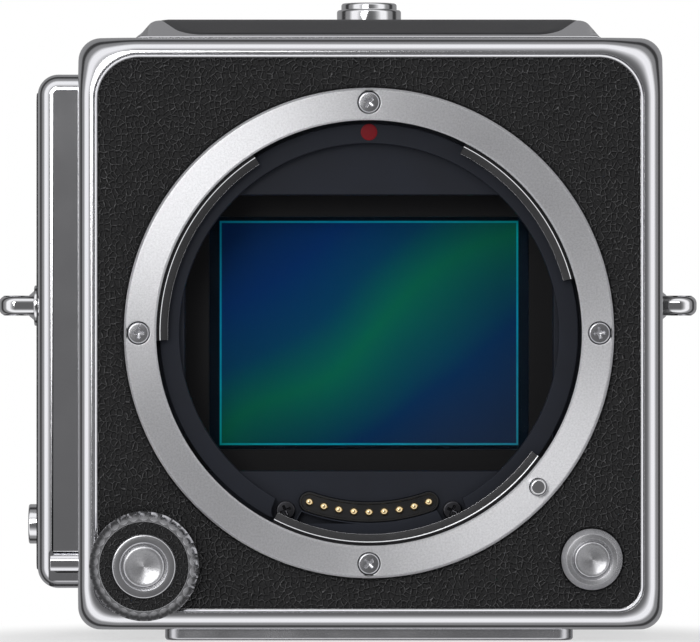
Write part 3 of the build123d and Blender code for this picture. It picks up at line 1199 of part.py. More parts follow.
def rear_panel():
    """Plate that closes the back, with the keys' holes and the fixed knuckles of the screen's hinge."""
    panel = slab(rear_panel_outline(SEAT_GAP), BACK_REAR_Y - REAR_PANEL_T, BACK_REAR_Y)
    for x in key_places():
        panel -= disc(KEY_R + SEAT_GAP, BACK_REAR_Y - BACK_WALL - OVERRUN, BACK_REAR_Y + OVERRUN, x, KEY_Z)
    for side in (-1, 1):
        x0, x1 = sorted((side * HINGE_SPLIT_X, side * HINGE_OUTER_X))
        panel += side_slab(Pos(HINGE_Y, hinge_z()) * Circle(HINGE_R), x0, x1)
        panel += block(x0, x1, BACK_REAR_Y, HINGE_Y, hinge_z() - HINGE_R, hinge_z() + HINGE_R)
        panel -= side_slab(Pos(HINGE_Y, hinge_z()) * Circle(HINGE_PIN_R), x0 - OVERRUN, x1 + OVERRUN)
    return panel


def key_places():
    """X of each rear key."""
    return [KEY_PITCH * (k - (KEY_COUNT - 1) / 2) for k in range(KEY_COUNT)]


def rear_key(x):
    """Round key with a lip behind the panel."""
    front = BACK_REAR_Y - REAR_PANEL_T
    key = disc(KEY_R, front - KEY_LIP_T, BACK_REAR_Y + KEY_PROUD)
    key = fillet(key.edges().group_by(Axis.Y)[-1], KEY_PROUD / 3)
    return Pos(x, 0, KEY_Z) * (key + disc(KEY_R + KEY_LIP, front - FIT - KEY_LIP_T, front - FIT))


def key_board():
    """Circuit board under the keys."""
    front = BACK_REAR_Y - REAR_PANEL_T - KEY_LIP_T - KEY_BOARD_GAP
    board = block(-KEY_BOARD_HALF_W, KEY_BOARD_HALF_W, front - BOARD_T, front, KEY_Z - KEY_BOARD_HALF_H,
                  KEY_Z + KEY_BOARD_HALF_H)
    for x in (-KEY_BOARD_HALF_W + STANDOFF_R, KEY_BOARD_HALF_W - STANDOFF_R):
        board += disc(STANDOFF_R, front, BACK_REAR_Y - REAR_PANEL_T, x, KEY_Z)
    return board


# Sensor and electronics

def sensor_frame():
    """Black frame for sensor and cover glass, flanged behind the shell's front wall."""
    frame = slab(Rectangle(2 * FRAME_HALF_W, 2 * FRAME_HALF_H), FRAME_FRONT_Y, FRAME_REAR_Y)
    flange_front = BACK_FRONT_Y + BACK_WALL
    flange = Rectangle(2 * (FRAME_HALF_W + FRAME_FLANGE), 2 * (FRAME_HALF_H + FRAME_FLANGE))
    frame += slab(flange, flange_front, flange_front + FRAME_FLANGE_T)
    glass_y = SENSOR_PLANE_Y - WINDOW_LEAD - WINDOW_T
    view = Rectangle(WINDOW_W - 2 * SEAT_GAP, WINDOW_H - 2 * SEAT_GAP)
    frame -= slab(view, FRAME_FRONT_Y - OVERRUN, glass_y)
    frame -= slab(Rectangle(WINDOW_W + 2 * SEAT_GAP, WINDOW_H + 2 * SEAT_GAP), glass_y, SENSOR_PLANE_Y)
    package = Rectangle(SENSOR_W + 2 * SENSOR_MARGIN + 2 * SEAT_GAP, SENSOR_H + SENSOR_MARGIN + 2 * SEAT_GAP)
    return frame - slab(package, SENSOR_PLANE_Y, FRAME_REAR_Y + OVERRUN)


def cover_glass():
    """Cover glass with clipped corners."""
    half_w, half_h = WINDOW_W / 2, WINDOW_H / 2
    outline = []
    for sx, sz in ((1, 1), (-1, 1), (-1, -1), (1, -1)):
        pair = [(sx * half_w, sz * (half_h - WINDOW_CLIP_H)), (sx * (half_w - WINDOW_CLIP_W), sz * half_h)]
        outline += pair if sx * sz > 0 else pair[::-1]
    rear = SENSOR_PLANE_Y - WINDOW_LEAD
    return slab(make_face(Polyline(*outline, close=True)), rear - WINDOW_T, rear)


def sensor():
    """Image sensor in its package."""
    package = Rectangle(SENSOR_W + 2 * SENSOR_MARGIN, SENSOR_H + SENSOR_MARGIN)
    chip = slab(package, SENSOR_PLANE_Y + FIT, SENSOR_PLANE_Y + SENSOR_T)
    return chip + slab(Rectangle(SENSOR_W, SENSOR_H), SENSOR_PLANE_Y, SENSOR_PLANE_Y + FIT)


def heat_sink():
    """Finned plate behind the sensor."""
    front = SENSOR_PLANE_Y + SENSOR_T
    plate = slab(Rectangle(SENSOR_W + SENSOR_MARGIN, SENSOR_H), front, front + SINK_T)
    step = SENSOR_W / SINK_FIN_COUNT
    for k in range(SINK_FIN_COUNT):
        x = step * (k - (SINK_FIN_COUNT - 1) / 2)
        fin = Rectangle(SINK_FIN_T, SENSOR_H)
        plate += slab(Pos(x, 0) * fin, front + SINK_T, front + SINK_T + SINK_FIN_H)
    return plate


def main_board():
    """Main circuit board with its chips, on four standoffs from the shell's front wall."""
    height = MAIN_BOARD_TOP_Z - MAIN_BOARD_BOTTOM_Z
    middle = (MAIN_BOARD_TOP_Z + MAIN_BOARD_BOTTOM_Z) / 2
    outline = Pos(0, middle) * Rectangle(2 * MAIN_BOARD_HALF_W, height)
    board = slab(outline, MAIN_BOARD_Y, MAIN_BOARD_Y + BOARD_T)
    for x in (-STANDOFF_X, STANDOFF_X):
        for z in (-STANDOFF_Z, STANDOFF_Z):
            board += disc(STANDOFF_R, BACK_FRONT_Y + BACK_WALL, MAIN_BOARD_Y, x, z)
    rear = MAIN_BOARD_Y + BOARD_T
    for x, z, side in CHIPS:
        board += slab(Pos(x, z) * Rectangle(side, side), rear, rear + CHIP_T)
    return board


def battery_pack():
    """Rechargeable battery, pushed in from the left."""
    pack = side_slab(battery_outline(0), WING_X + CAP_T, WING_X + CAP_T + BATTERY_LENGTH)
    return fillet(pack.edges().group_by(Axis.X)[-1], BATTERY_R / 3)


def battery_cap():
    """Outer cap of the battery, flush with the wing, with the catch's recess."""
    cap = side_slab(cap_outline(), WING_X - CAP_PROUD, WING_X + CAP_T)
    cap = fillet(cap.edges().group_by(Axis.X)[0], CAP_PROUD)
    recess = Rectangle(CATCH_W + 2 * PART_GAP, CATCH_H + CATCH_TRAVEL + 2 * PART_GAP)
    recess = Pos(CATCH_Y, CATCH_Z + CATCH_TRAVEL / 2) * recess
    return cap - side_slab(recess, WING_X - CAP_PROUD - OVERRUN, WING_X + CATCH_T)


def battery_catch():
    """Ribbed slide in the cap that frees the battery."""
    catch = block(WING_X - CATCH_PROUD, WING_X + CATCH_T, CATCH_Y - CATCH_W / 2, CATCH_Y + CATCH_W / 2,
                  CATCH_Z - CATCH_H / 2, CATCH_Z + CATCH_H / 2)
    catch = fillet(catch.edges().filter_by(Axis.X), PART_GAP)
    step = CATCH_H / CATCH_RIBS
    for k in range(CATCH_RIBS):
        z = CATCH_Z + step * (k - (CATCH_RIBS - 1) / 2)
        catch -= block(WING_X - CATCH_PROUD - OVERRUN, WING_X - CATCH_PROUD / 2, CATCH_Y - CATCH_W, CATCH_Y + CATCH_W,
                       z - CATCH_RIB_W / 2, z + CATCH_RIB_W / 2)
    return catch


def battery_tray():
    """Sleeve inside the back that the battery slides in, closed at its inner end."""
    left = WING_X + BACK_WALL
    right = WING_X + CAP_T + BATTERY_LENGTH + BATTERY_GAP
    tray = side_slab(battery_outline(BATTERY_GAP + TRAY_WALL), left, right + TRAY_WALL)
    return tray - side_slab(battery_outline(BATTERY_GAP), left - OVERRUN, right)


def power_button():
    """Round button with a rounded rim and a dished middle, sunk into a counterbore of the wing."""
    cap_inner = WING_X + POWER_SEAT - POWER_TRAVEL - SEAT_GAP
    length = cap_inner - WING_X + POWER_PROUD
    cap = dished_cap(POWER_R, length, POWER_ROUND, POWER_DISH_R, SHUTTER_DISH)
    button = Pos(WING_X - POWER_PROUD, 0, 0) * Rot(0, 0, -90) * cap
    button += side_slab(Circle(POWER_STEM_R), cap_inner, WING_X + BACK_WALL + POWER_TRAVEL)
    return Pos(0, POWER_Y, POWER_Z) * button


def card_places():
    """Z of each memory card."""
    return [READER_Z + side * CARD_PITCH / 2 for side in (-1, 1)]


def socket_face_x():
    """X of the faces that the card slots and the sockets open in."""
    return HALF_W - BACK_WALL - SOCKET_SINK


def behind_door(x_left, y, depth, z, height, z_range):
    """Block seated on the wall's inner face, with a recess as wide as the door's opening."""
    wall_x = HALF_W - BACK_WALL
    part = block(x_left, wall_x, y - depth / 2, y + depth / 2, z - height / 2, z + height / 2)
    return part - side_slab(door_outline(z_range, -DOOR_FRAME - SEAT_GAP), socket_face_x(), wall_x + OVERRUN)


def card_reader():
    """Housing of the two card slots."""
    reader = behind_door(READER_X, READER_Y, READER_D, READER_Z, READER_H, CARD_DOOR_Z)
    right = socket_face_x() + CARD_PROUD
    for z in card_places():
        reader -= block(right - CARD_LENGTH - SEAT_GAP, right + OVERRUN,
                        READER_Y - CARD_W / 2 - SEAT_GAP, READER_Y + CARD_W / 2 + SEAT_GAP,
                        z - CARD_T / 2 - SEAT_GAP, z + CARD_T / 2 + SEAT_GAP)
    return reader


def memory_cards():
    """Two cards in their slots."""
    cards = Part()
    right = socket_face_x() + CARD_PROUD
    for z in card_places():
        card = block(right - CARD_LENGTH, right, READER_Y - CARD_W / 2, READER_Y + CARD_W / 2,
                     z - CARD_T / 2, z + CARD_T / 2)
        cards += fillet(card.edges().filter_by(Axis.X), CARD_T / 8)
    return cards


def port_block():
    """Block with a data socket between two round jacks."""
    right = socket_face_x()
    part = behind_door(PORT_BLOCK_X, PORT_BLOCK_Y, PORT_BLOCK_D, PORT_BLOCK_Z, PORT_BLOCK_H, PORT_DOOR_Z)
    usb = Pos(PORT_BLOCK_Y, PORT_BLOCK_Z) * RectangleRounded(USB_W, USB_H, USB_W / 2 - FIT)
    part -= side_slab(usb, right - SOCKET_DEPTH, right + OVERRUN)
    part += block(right - SOCKET_DEPTH - FIT, right - CONTACT_RIM, PORT_BLOCK_Y - USB_TONGUE_T / 2,
                  PORT_BLOCK_Y + USB_TONGUE_T / 2, PORT_BLOCK_Z - USB_H / 3, PORT_BLOCK_Z + USB_H / 3)
    for offset in JACK_Z:
        place = Pos(PORT_BLOCK_Y, PORT_BLOCK_Z + offset)
        part += side_slab(place * Circle(JACK_RIM_R), right, right + CONTACT_RIM)
        part -= side_slab(place * Circle(JACK_R), right - SOCKET_DEPTH, right + OVERRUN)
    return part


# Screen

def hinge_z():
    """Height of the screen's hinge axis."""
    return SCREEN_TOP_Z + HINGE_DROP


def screen_front_y():
    """Face of the screen frame that rests against the rear panel, with its gap."""
    return BACK_REAR_Y + SCREEN_GAP


def screen_outline(inset):
    """Rear-view outline of the screen, drawn in by inset."""
    height = SCREEN_TOP_Z - SCREEN_BOTTOM_Z
    middle = (SCREEN_TOP_Z + SCREEN_BOTTOM_Z) / 2
    width = 2 * (SCREEN_HALF_W - inset)
    return Pos(0, middle) * RectangleRounded(width, height - 2 * inset, SCREEN_R - inset / 2)


def panel_outline():
    """Rear-view outline of the display panel."""
    middle = (SCREEN_TOP_Z + SCREEN_BOTTOM_Z) / 2
    return Pos(0, middle) * Rectangle(2 * PANEL_HALF_W, 2 * PANEL_HALF_H)


def screen_frame():
    """Tilting housing of the screen, with its knuckles on the top edge."""
    front = screen_front_y()
    rear = front + SCREEN_T
    frame = slab(screen_outline(0), front, rear)
    frame = fillet(frame.edges().group_by(Axis.Y)[-1], SCREEN_EDGE_R)
    frame -= slab(screen_outline(GLASS_MARGIN), rear - GLASS_T, rear + OVERRUN)
    frame -= slab(panel_outline(), front + SCREEN_BACK_T, rear)
    for side in (-1, 1):
        x0, x1 = sorted((side * HINGE_INNER_X, side * (HINGE_SPLIT_X - HINGE_SIDE_GAP)))
        frame += side_slab(Pos(HINGE_Y, hinge_z()) * Circle(HINGE_R), x0, x1)
        frame += block(x0, x1, HINGE_Y - HINGE_R, HINGE_Y + HINGE_R, SCREEN_TOP_Z - HINGE_R, hinge_z())
        frame -= side_slab(Pos(HINGE_Y, hinge_z()) * Circle(HINGE_PIN_R + FIT), x0 - OVERRUN, x1 + OVERRUN)
    return frame


def touch_display():
    """Touch glass with the display bonded behind it, on a backing pad."""
    rear = screen_front_y() + SCREEN_T
    middle = Pos(0, (SCREEN_TOP_Z + SCREEN_BOTTOM_Z) / 2)
    glass = slab(screen_outline(GLASS_MARGIN + SEAT_GAP), rear - GLASS_T, rear)
    panel_rear = rear - GLASS_T
    outline = middle * Rectangle(2 * (PANEL_HALF_W - SEAT_GAP), 2 * (PANEL_HALF_H - SEAT_GAP))
    panel = slab(outline, panel_rear - PANEL_T, panel_rear)
    pad_front = screen_front_y() + SCREEN_BACK_T
    pad = slab(middle * Rectangle(PANEL_HALF_W, PANEL_HALF_H), pad_front, panel_rear - PANEL_T)
    return glass + panel + pad


def hinge_pins():
    """Two pins that the screen turns on, and the two doors' pins."""
    pins = Part()
    for side in (-1, 1):
        ends = sorted((side * HINGE_INNER_X, side * HINGE_OUTER_X))
        pins += side_slab(Pos(HINGE_Y, hinge_z()) * Circle(HINGE_PIN_R), *ends)
    y, x = door_axis()
    for low, high in (CARD_DOOR_Z, PORT_DOOR_Z):
        pins += level_slab(Pos(x, y) * Circle(DOOR_PIN_R), low - PART_GAP, high + PART_GAP)
    return pins


def build():
    """Makes every sub-part under its name."""
    add("body_shell", body_shell())
    add("front_plate", front_plate())
    add("front_leather", front_leather())
    add("side_leathers", side_leathers())
    add("top_ridge", top_ridge())
    add("name_strip", name_strip())
    add("side_cheek", side_cheek())
    add("cheek_block", cheek_block())
    add("strap_lug_left", strap_lug(-1))
    add("strap_lug_right", strap_lug(1))
    add("tripod_plate", tripod_plate())
    add("body_screws", body_screws())
    add("tripod_bush", tripod_bush())
    add("body_feet", body_feet())
    add("body_rear_plate", rear_plate())
    add("lens_mount_ring", lens_mount_ring())
    add("light_baffle", light_baffle())
    add("index_dot", index_dot())
    add("contact_block", contact_block())
    add("contact_pins", contact_pins())
    add("block_screws", block_screws())
    add("control_dial", control_dial())
    add("dial_leather", dial_leather())
    add("dial_collar", dial_collar())
    add("shutter_button", shutter_button())
    cap_rear = SHUTTER_FRONT_Y + SHUTTER_CAP_T
    spring_room = PLATE_REAR_Y - COLLAR_FLOOR_T - cap_rear
    add("shutter_spring", coil((DIAL_X, cap_rear, DIAL_Z), (0, 1, 0), spring_room))
    add("release_collar", release_collar())
    add("lens_release_button", release_button())
    add("lens_lock_pin", lock_pin())
    bridge_rear = BRIDGE_Y + BRIDGE_T
    add("release_spring", coil((RELEASE_X, bridge_rear, RELEASE_Z), (0, 1, 0), CUP_FLOOR_Y - bridge_rear))
    add("back_shell", back_shell())
    add("back_top_cover", top_cover())
    add("back_release_knob", release_knob())
    add("latch_slider", latch_slider())
    add("latch_spring", latch_spring())
    add("rear_panel", rear_panel())
    for k, x in enumerate(key_places(), 1):
        add(f"rear_key_{k}", rear_key(x))
    add("key_board", key_board())
    add("sensor_frame", sensor_frame())
    add("sensor_cover_glass", cover_glass())
    add("image_sensor", sensor())
    add("heat_sink", heat_sink())
    add("main_board", main_board())
    add("battery_pack", battery_pack())
    add("battery_cap", battery_cap())
    add("battery_catch", battery_catch())
    add("battery_tray", battery_tray())
    add("power_button", power_button())
    add("card_door", door(CARD_DOOR_Z))
    add("port_door", door(PORT_DOOR_Z))
    add("card_reader", card_reader())
    add("memory_cards", memory_cards())
    add("port_block", port_block())
    add("screen_frame", screen_frame())
    add("touch_display", touch_display())
    add("hinge_pins", hinge_pins())


build()
os.makedirs("parts", exist_ok=True)
for name, shape in NODES.items():
    export_step(shape, f"parts/{name}.step")
print(len(NODES), "nodes")
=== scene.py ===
# %% [markdown]
# # A medium format digital camera
# The camera was drawn first as solids: a square body with its lens mount, and a digital back latched on
# behind it. This notebook dresses those solids. The solids decide every size and place, and what moves. Here
# each surface that the eye rests on is made again as a fine, smooth mesh, and every finish gets its grain.

# %% Load the solids
import math
import bmesh
import bpy
import numpy as np
from mathutils import Matrix, Vector
from mathutils.geometry import tessellate_polygon


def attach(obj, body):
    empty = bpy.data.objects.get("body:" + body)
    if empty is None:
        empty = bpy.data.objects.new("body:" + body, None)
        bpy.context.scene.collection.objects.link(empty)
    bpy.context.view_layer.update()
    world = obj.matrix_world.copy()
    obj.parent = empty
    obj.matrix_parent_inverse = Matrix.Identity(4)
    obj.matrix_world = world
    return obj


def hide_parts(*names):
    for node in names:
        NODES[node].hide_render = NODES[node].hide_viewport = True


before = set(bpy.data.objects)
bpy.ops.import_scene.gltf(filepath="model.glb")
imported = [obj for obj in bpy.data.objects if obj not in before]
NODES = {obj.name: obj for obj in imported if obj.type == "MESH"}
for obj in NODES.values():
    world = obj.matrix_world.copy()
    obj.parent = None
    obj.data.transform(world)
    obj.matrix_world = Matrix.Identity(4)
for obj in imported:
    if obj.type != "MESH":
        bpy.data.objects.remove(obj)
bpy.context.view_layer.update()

MM = 0.001

# %% [markdown]
# ## Drawing tools
# Camera parts are turned, milled or pressed, so nearly all of them are a profile carried round an axis or
# round an outline. The tools below work in millimetres with whole arrays of points. A drawing has two axes,
# u and v, and a depth, w. On a front view u is X, v is Z and w is Y, on a side view they are Y, Z and X, and
# on a plan X, Y and Z.

# %% Points, corners and outlines
def place(u, v, w, axis):
    """Points (u, v) at depth w as X, Y, Z. The axis names the direction that depth runs in."""
    u, v, w = np.broadcast_arrays(u, v, w)
    order = {"Y": (u, w, v), "X": (w, u, v), "Z": (u, v, w)}[axis]
    return np.stack(order, axis=-1).astype(float)


def rounded(points, radii, steps=6, closed=False):
    """Polyline with its corners turned into arcs. At each corner the arc's centre lies on the bisector, at
    the radius over the sine of half the corner's angle. The arc blends its two end radii by sines."""
    points = np.array(points, float)
    radii = np.zeros(len(points)) + np.array(radii, float)
    out = []
    for k, (corner, radius) in enumerate(zip(points, radii)):
        if radius == 0 or (not closed and k in (0, len(points) - 1)):
            out.append(corner[None])
            continue
        back = points[k - 1] - corner
        ahead = points[(k + 1) % len(points)] - corner
        back, ahead = back / np.linalg.norm(back), ahead / np.linalg.norm(ahead)
        half = math.acos(float(np.clip(back @ ahead, -1, 1))) / 2
        centre = corner + (back + ahead) / np.linalg.norm(back + ahead) * radius / math.sin(half)
        reach, sweep = radius / math.tan(half), math.pi - 2 * half
        t = np.linspace(0, 1, steps + 1)[:, None]
        start, end = corner + back * reach - centre, corner + ahead * reach - centre
        out.append(centre + (np.sin((1 - t) * sweep) * start + np.sin(t * sweep) * end) / math.sin(sweep))
    return np.concatenate(out)


def circle(radius, at=(0, 0), count=64, hole=False):
    """Closed circle, anticlockwise, or clockwise for a hole."""
    t = np.linspace(0, 2 * np.pi, count, endpoint=False) * (-1 if hole else 1)
    return np.stack([at[0] + radius * np.cos(t), at[1] + radius * np.sin(t)], axis=-1)


def rectangle(low_u, high_u, low_v, high_v, radii, steps=8, hole=False):
    """Closed rectangle with round corners, from its lower left corner on, anticlockwise."""
    corners = [(low_u, low_v), (high_u, low_v), (high_u, high_v), (low_u, high_v)]
    loop = rounded(corners, radii, steps, closed=True)
    return loop[::-1] if hole else loop


def drawn_in(loop, amount):
    """Closed outline moved to its left by an amount: each corner goes along the sum of its two sides'
    normals, divided by one plus their product, which keeps the distance to both sides."""
    sides = np.roll(loop, -1, axis=0) - loop
    sides = sides / np.linalg.norm(sides, axis=1)[:, None]
    normal = np.stack([-sides[:, 1], sides[:, 0]], axis=-1)
    before = np.roll(normal, 1, axis=0)
    miter = (before + normal) / (1 + (before * normal).sum(1))[:, None]
    return loop + amount * miter


def on_circle(radius, degrees):
    """Point of a circle round the lens axis."""
    return radius * math.cos(math.radians(degrees)), radius * math.sin(math.radians(degrees))


print("a circle in", len(circle(1)), "points, a rounded square in", len(rectangle(-1, 1, -1, 1, 0.2)))

# %% [markdown]
# Three builders follow. A shell joins rings of points into a skin. A plate is a shell round a flat outline,
# with or without holes, whose edge has a profile of its own. A turned piece is a profile spun round an axis.
# Faces of a large area pull the shading normals towards themselves, so that flats stay flat and only edges
# look round.

# %% Pieces
MADE = {}


def smoothed(name, mesh, sharp, bevel=0.0):
    """Object for a mesh: smooth but for edges sharper than an angle. A bevel, if one is given, breaks those
    edges, and each face then pulls the normals by its area."""
    mesh.shade_smooth()
    mesh.set_sharp_from_angle(angle=math.radians(sharp))
    piece = bpy.data.objects.new(name, mesh)
    bpy.context.scene.collection.objects.link(piece)
    if bevel:
        broken = piece.modifiers.new("broken edges", "BEVEL")
        broken.width = bevel * MM
        broken.segments = 2
        broken.limit_method = "ANGLE"
        broken.angle_limit = math.radians(sharp)
    evened = piece.modifiers.new("even normals", "WEIGHTED_NORMAL")
    evened.keep_sharp = True
    return piece


def build(name, form, material, body, instead_of, sharp=32):
    """Piece from a form, which is points in millimetres and faces: doubles merged, normals outward."""
    vertices, faces = form
    mesh = bpy.data.meshes.new(name)
    mesh.from_pydata((vertices * MM).tolist(), [], faces)
    work = bmesh.new()
    work.from_mesh(mesh)
    bmesh.ops.remove_doubles(work, verts=work.verts, dist=0.001 * MM)
    bmesh.ops.recalc_face_normals(work, faces=work.faces)
    work.to_mesh(mesh)
    work.free()
    return register(smoothed(name, mesh, sharp), material, body, instead_of)


def register(piece, material, body, instead_of):
    """Gives a piece its finish, its body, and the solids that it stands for."""
    piece.data.materials.append(material)
    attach(piece, body)
    if instead_of:
        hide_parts(*instead_of)
    MADE[piece.name] = len(piece.data.polygons)
    return piece


print("pieces so far:", len(MADE))

# %% Skins
def ring_faces(rows, count, start, joined):
    """Quads between neighbouring closed rings of points; joined also ties the last ring to the first."""
    last = rows if joined else rows - 1
    row, column = np.meshgrid(np.arange(last), np.arange(count), indexing="ij")
    a = start + row * count + column
    b = start + row * count + (column + 1) % count
    c = start + (row + 1) % rows * count + (column + 1) % count
    d = start + (row + 1) % rows * count + column
    return np.stack([a, b, c, d], axis=-1).reshape(-1, 4).tolist()


def skin(grids, ends=True, joined=False):
    """Points and faces of one skin over several stacks of rings. The ends are filled across all the stacks,
    so that inner stacks become holes."""
    vertices, faces, first, last = [], [], [], []
    start = 0
    for grid in grids:
        rows, count = grid.shape[:2]
        vertices.append(grid.reshape(-1, 3))
        faces += ring_faces(rows, count, start, joined)
        first.append(np.arange(start, start + count))
        last.append(np.arange(start + (rows - 1) * count, start + rows * count))
        start += rows * count
    vertices = np.concatenate(vertices)
    if ends and not joined:
        for rims in (first, last):
            order = np.concatenate(rims)
            triangles = np.array(tessellate_polygon([vertices[rim].tolist() for rim in rims]))
            faces += order[triangles].tolist()
    return vertices, faces


def merged(parts):
    """Several forms as one."""
    vertices, faces, start = [], [], 0
    for points, members in parts:
        vertices.append(points)
        faces += [[start + k for k in face] for face in members]
        start += len(points)
    return np.concatenate(vertices), faces


print("three rings of four points, tied into a loop, have", len(ring_faces(3, 4, 0, True)), "faces")

# %% Plates
def edge(front, rear, front_r=0.0, rear_r=0.0, steps=5):
    """Edge profile of a plate as (inset, depth) pairs: a quarter round, a wall and a quarter round."""
    corners = [(max(front_r, 0.02) + 0.05, front), (0, front), (0, rear), (max(rear_r, 0.02) + 0.05, rear)]
    return rounded(corners, [0, front_r, rear_r, 0], steps)


def plate_form(loops, profiles, axis="Y"):
    """Plate whose outline and holes each follow an edge profile, from one front to one rear face."""
    if not isinstance(profiles, list):
        profiles = [profiles] * len(loops)
    grids = []
    for loop, profile in zip(loops, profiles):
        grids.append(np.stack([place(*drawn_in(loop, inset).T, depth, axis) for inset, depth in profile]))
    return skin(grids)


print("a plain edge in", len(edge(0, 1)), "points, a rounded one in", len(edge(0, 1, 0.3)))

# %% Turned pieces
def quarter(radius, depth, across, along, steps):
    """Quarter ellipse as (radius, depth) pairs: from along in front of a point to across beside it."""
    angle = np.linspace(0, np.pi / 2, steps)
    return [(radius + across * math.sin(t), depth - along * math.cos(t)) for t in angle]


def turned_form(profile, at=(0, 0), axis="Y", count=96, arc=None, joined=False):
    """Profile of (radius, depth) pairs spun round an axis through a point of the drawing. An arc in degrees
    spins it part of the way and closes both ends. A joined profile is a closed loop, like a ring's."""
    profile = np.array(profile, float)
    if arc is not None:
        t = np.radians(np.linspace(arc[0], arc[1], count))[:, None]
        radius, depth = profile.T
        return skin([place(at[0] + radius * np.cos(t), at[1] + radius * np.sin(t), depth, axis)])
    t = np.linspace(0, 2 * np.pi, count, endpoint=False)
    radius, depth = profile[:, :1], profile[:, 1:]
    grid = place(at[0] + radius * np.cos(t), at[1] + radius * np.sin(t), depth, axis)
    return skin([grid], ends=False, joined=joined)


print("a turned disc has", len(turned_form([(0, 0), (1, 0), (1, 1), (0, 1)])[1]), "faces")

# %% [markdown]
# ## Finishes
# A finish starts from one Principled shader. Its constants sit on the shader's own sockets. Everything that
# varies reads the object's own coordinates, turned into millimetres, so that a grain has its real size and
# stays on the surface when the camera goes round or a part moves.

# %% Node tools
def finish(name, colour, metal, rough, **sockets):
    """New material with its Principled shader; sockets are named with _ for the space between words."""
    material = bpy.data.materials.new(name)
    material.use_nodes = True
    shader = shader_of(material)
    shader.inputs["Base Color"].default_value = (*colour, 1)
    shader.inputs["Metallic"].default_value = metal
    shader.inputs["Roughness"].default_value = rough
    for socket, value in sockets.items():
        shader.inputs[socket.replace("_", " ")].default_value = value
    return material, shader


def node(material, kind, inputs=None, **settings):
    """Adds a node; inputs give each socket a value or another node's output."""
    made = material.node_tree.nodes.new("ShaderNode" + kind)
    for key, value in settings.items():
        setattr(made, key, value)
    for key, value in (inputs or {}).items():
        if isinstance(value, bpy.types.NodeSocket):
            material.node_tree.links.new(value, made.inputs[key])
        else:
            made.inputs[key].default_value = value
    return made


def join(material, output, socket):
    """Link from an output to a socket."""
    material.node_tree.links.new(output, socket)


def shader_of(material):
    """The material's Principled shader."""
    return material.node_tree.nodes["Principled BSDF"]


def maths(material, how, *values):
    """Result of a Math node; how is its operation, and values are numbers or outputs."""
    return node(material, "Math", dict(enumerate(values)), operation=how).outputs[0]


def vector_maths(material, how, *values):
    """Result of a Vector Math node, in the same way."""
    return node(material, "VectorMath", dict(enumerate(values)), operation=how).outputs[0]


def split(material, vector):
    """The three parts of a vector."""
    return node(material, "SeparateXYZ", {0: vector}).outputs


def millimetres(material, stretch=(1, 1, 1)):
    """Object coordinates in millimetres, stretched along X, Y and Z."""
    where = node(material, "TexCoord").outputs["Object"]
    return vector_maths(material, "MULTIPLY", where, tuple(s / MM for s in stretch))


def noise(material, where, scale, detail=3.0, rough=0.5):
    """Noise node; its scale is in waves to the millimetre where the place is in millimetres."""
    inputs = {"Vector": where, "Scale": scale, "Detail": detail, "Roughness": rough}
    return node(material, "TexNoise", inputs)


def remap(material, value, low, high, to_low, to_high, smooth=True):
    """Value carried from one range to another, clamped, along a straight or an S-shaped line."""
    inputs = {"Value": value, "From Min": low, "From Max": high, "To Min": to_low, "To Max": to_high}
    kind = "SMOOTHSTEP" if smooth else "LINEAR"
    return node(material, "MapRange", inputs, interpolation_type=kind).outputs[0]


def sums(material, *terms):
    """Weighted sum of outputs, given as (output, weight) pairs."""
    total = None
    for output, weight in terms:
        scaled = maths(material, "MULTIPLY", output, weight)
        total = scaled if total is None else maths(material, "ADD", total, scaled)
    return total


def colours(material, factor, stops):
    """Colour ramp from (position, colour) stops."""
    ramp = node(material, "ValToRGB", {0: factor})
    bar = ramp.color_ramp
    while len(bar.elements) < len(stops):
        bar.elements.new(0.5)
    for element, (position, colour) in zip(bar.elements, stops):
        element.position = position
        element.color = (*colour, 1)
    return ramp.outputs[0]


def bump(material, shader, height, depth_mm, strength=1.0):
    """Bump of a real depth in millimetres under a shader."""
    made = node(material, "Bump", {"Height": height, "Distance": depth_mm * MM, "Strength": strength})
    join(material, made.outputs[0], shader.inputs["Normal"])


print("node tools ready")
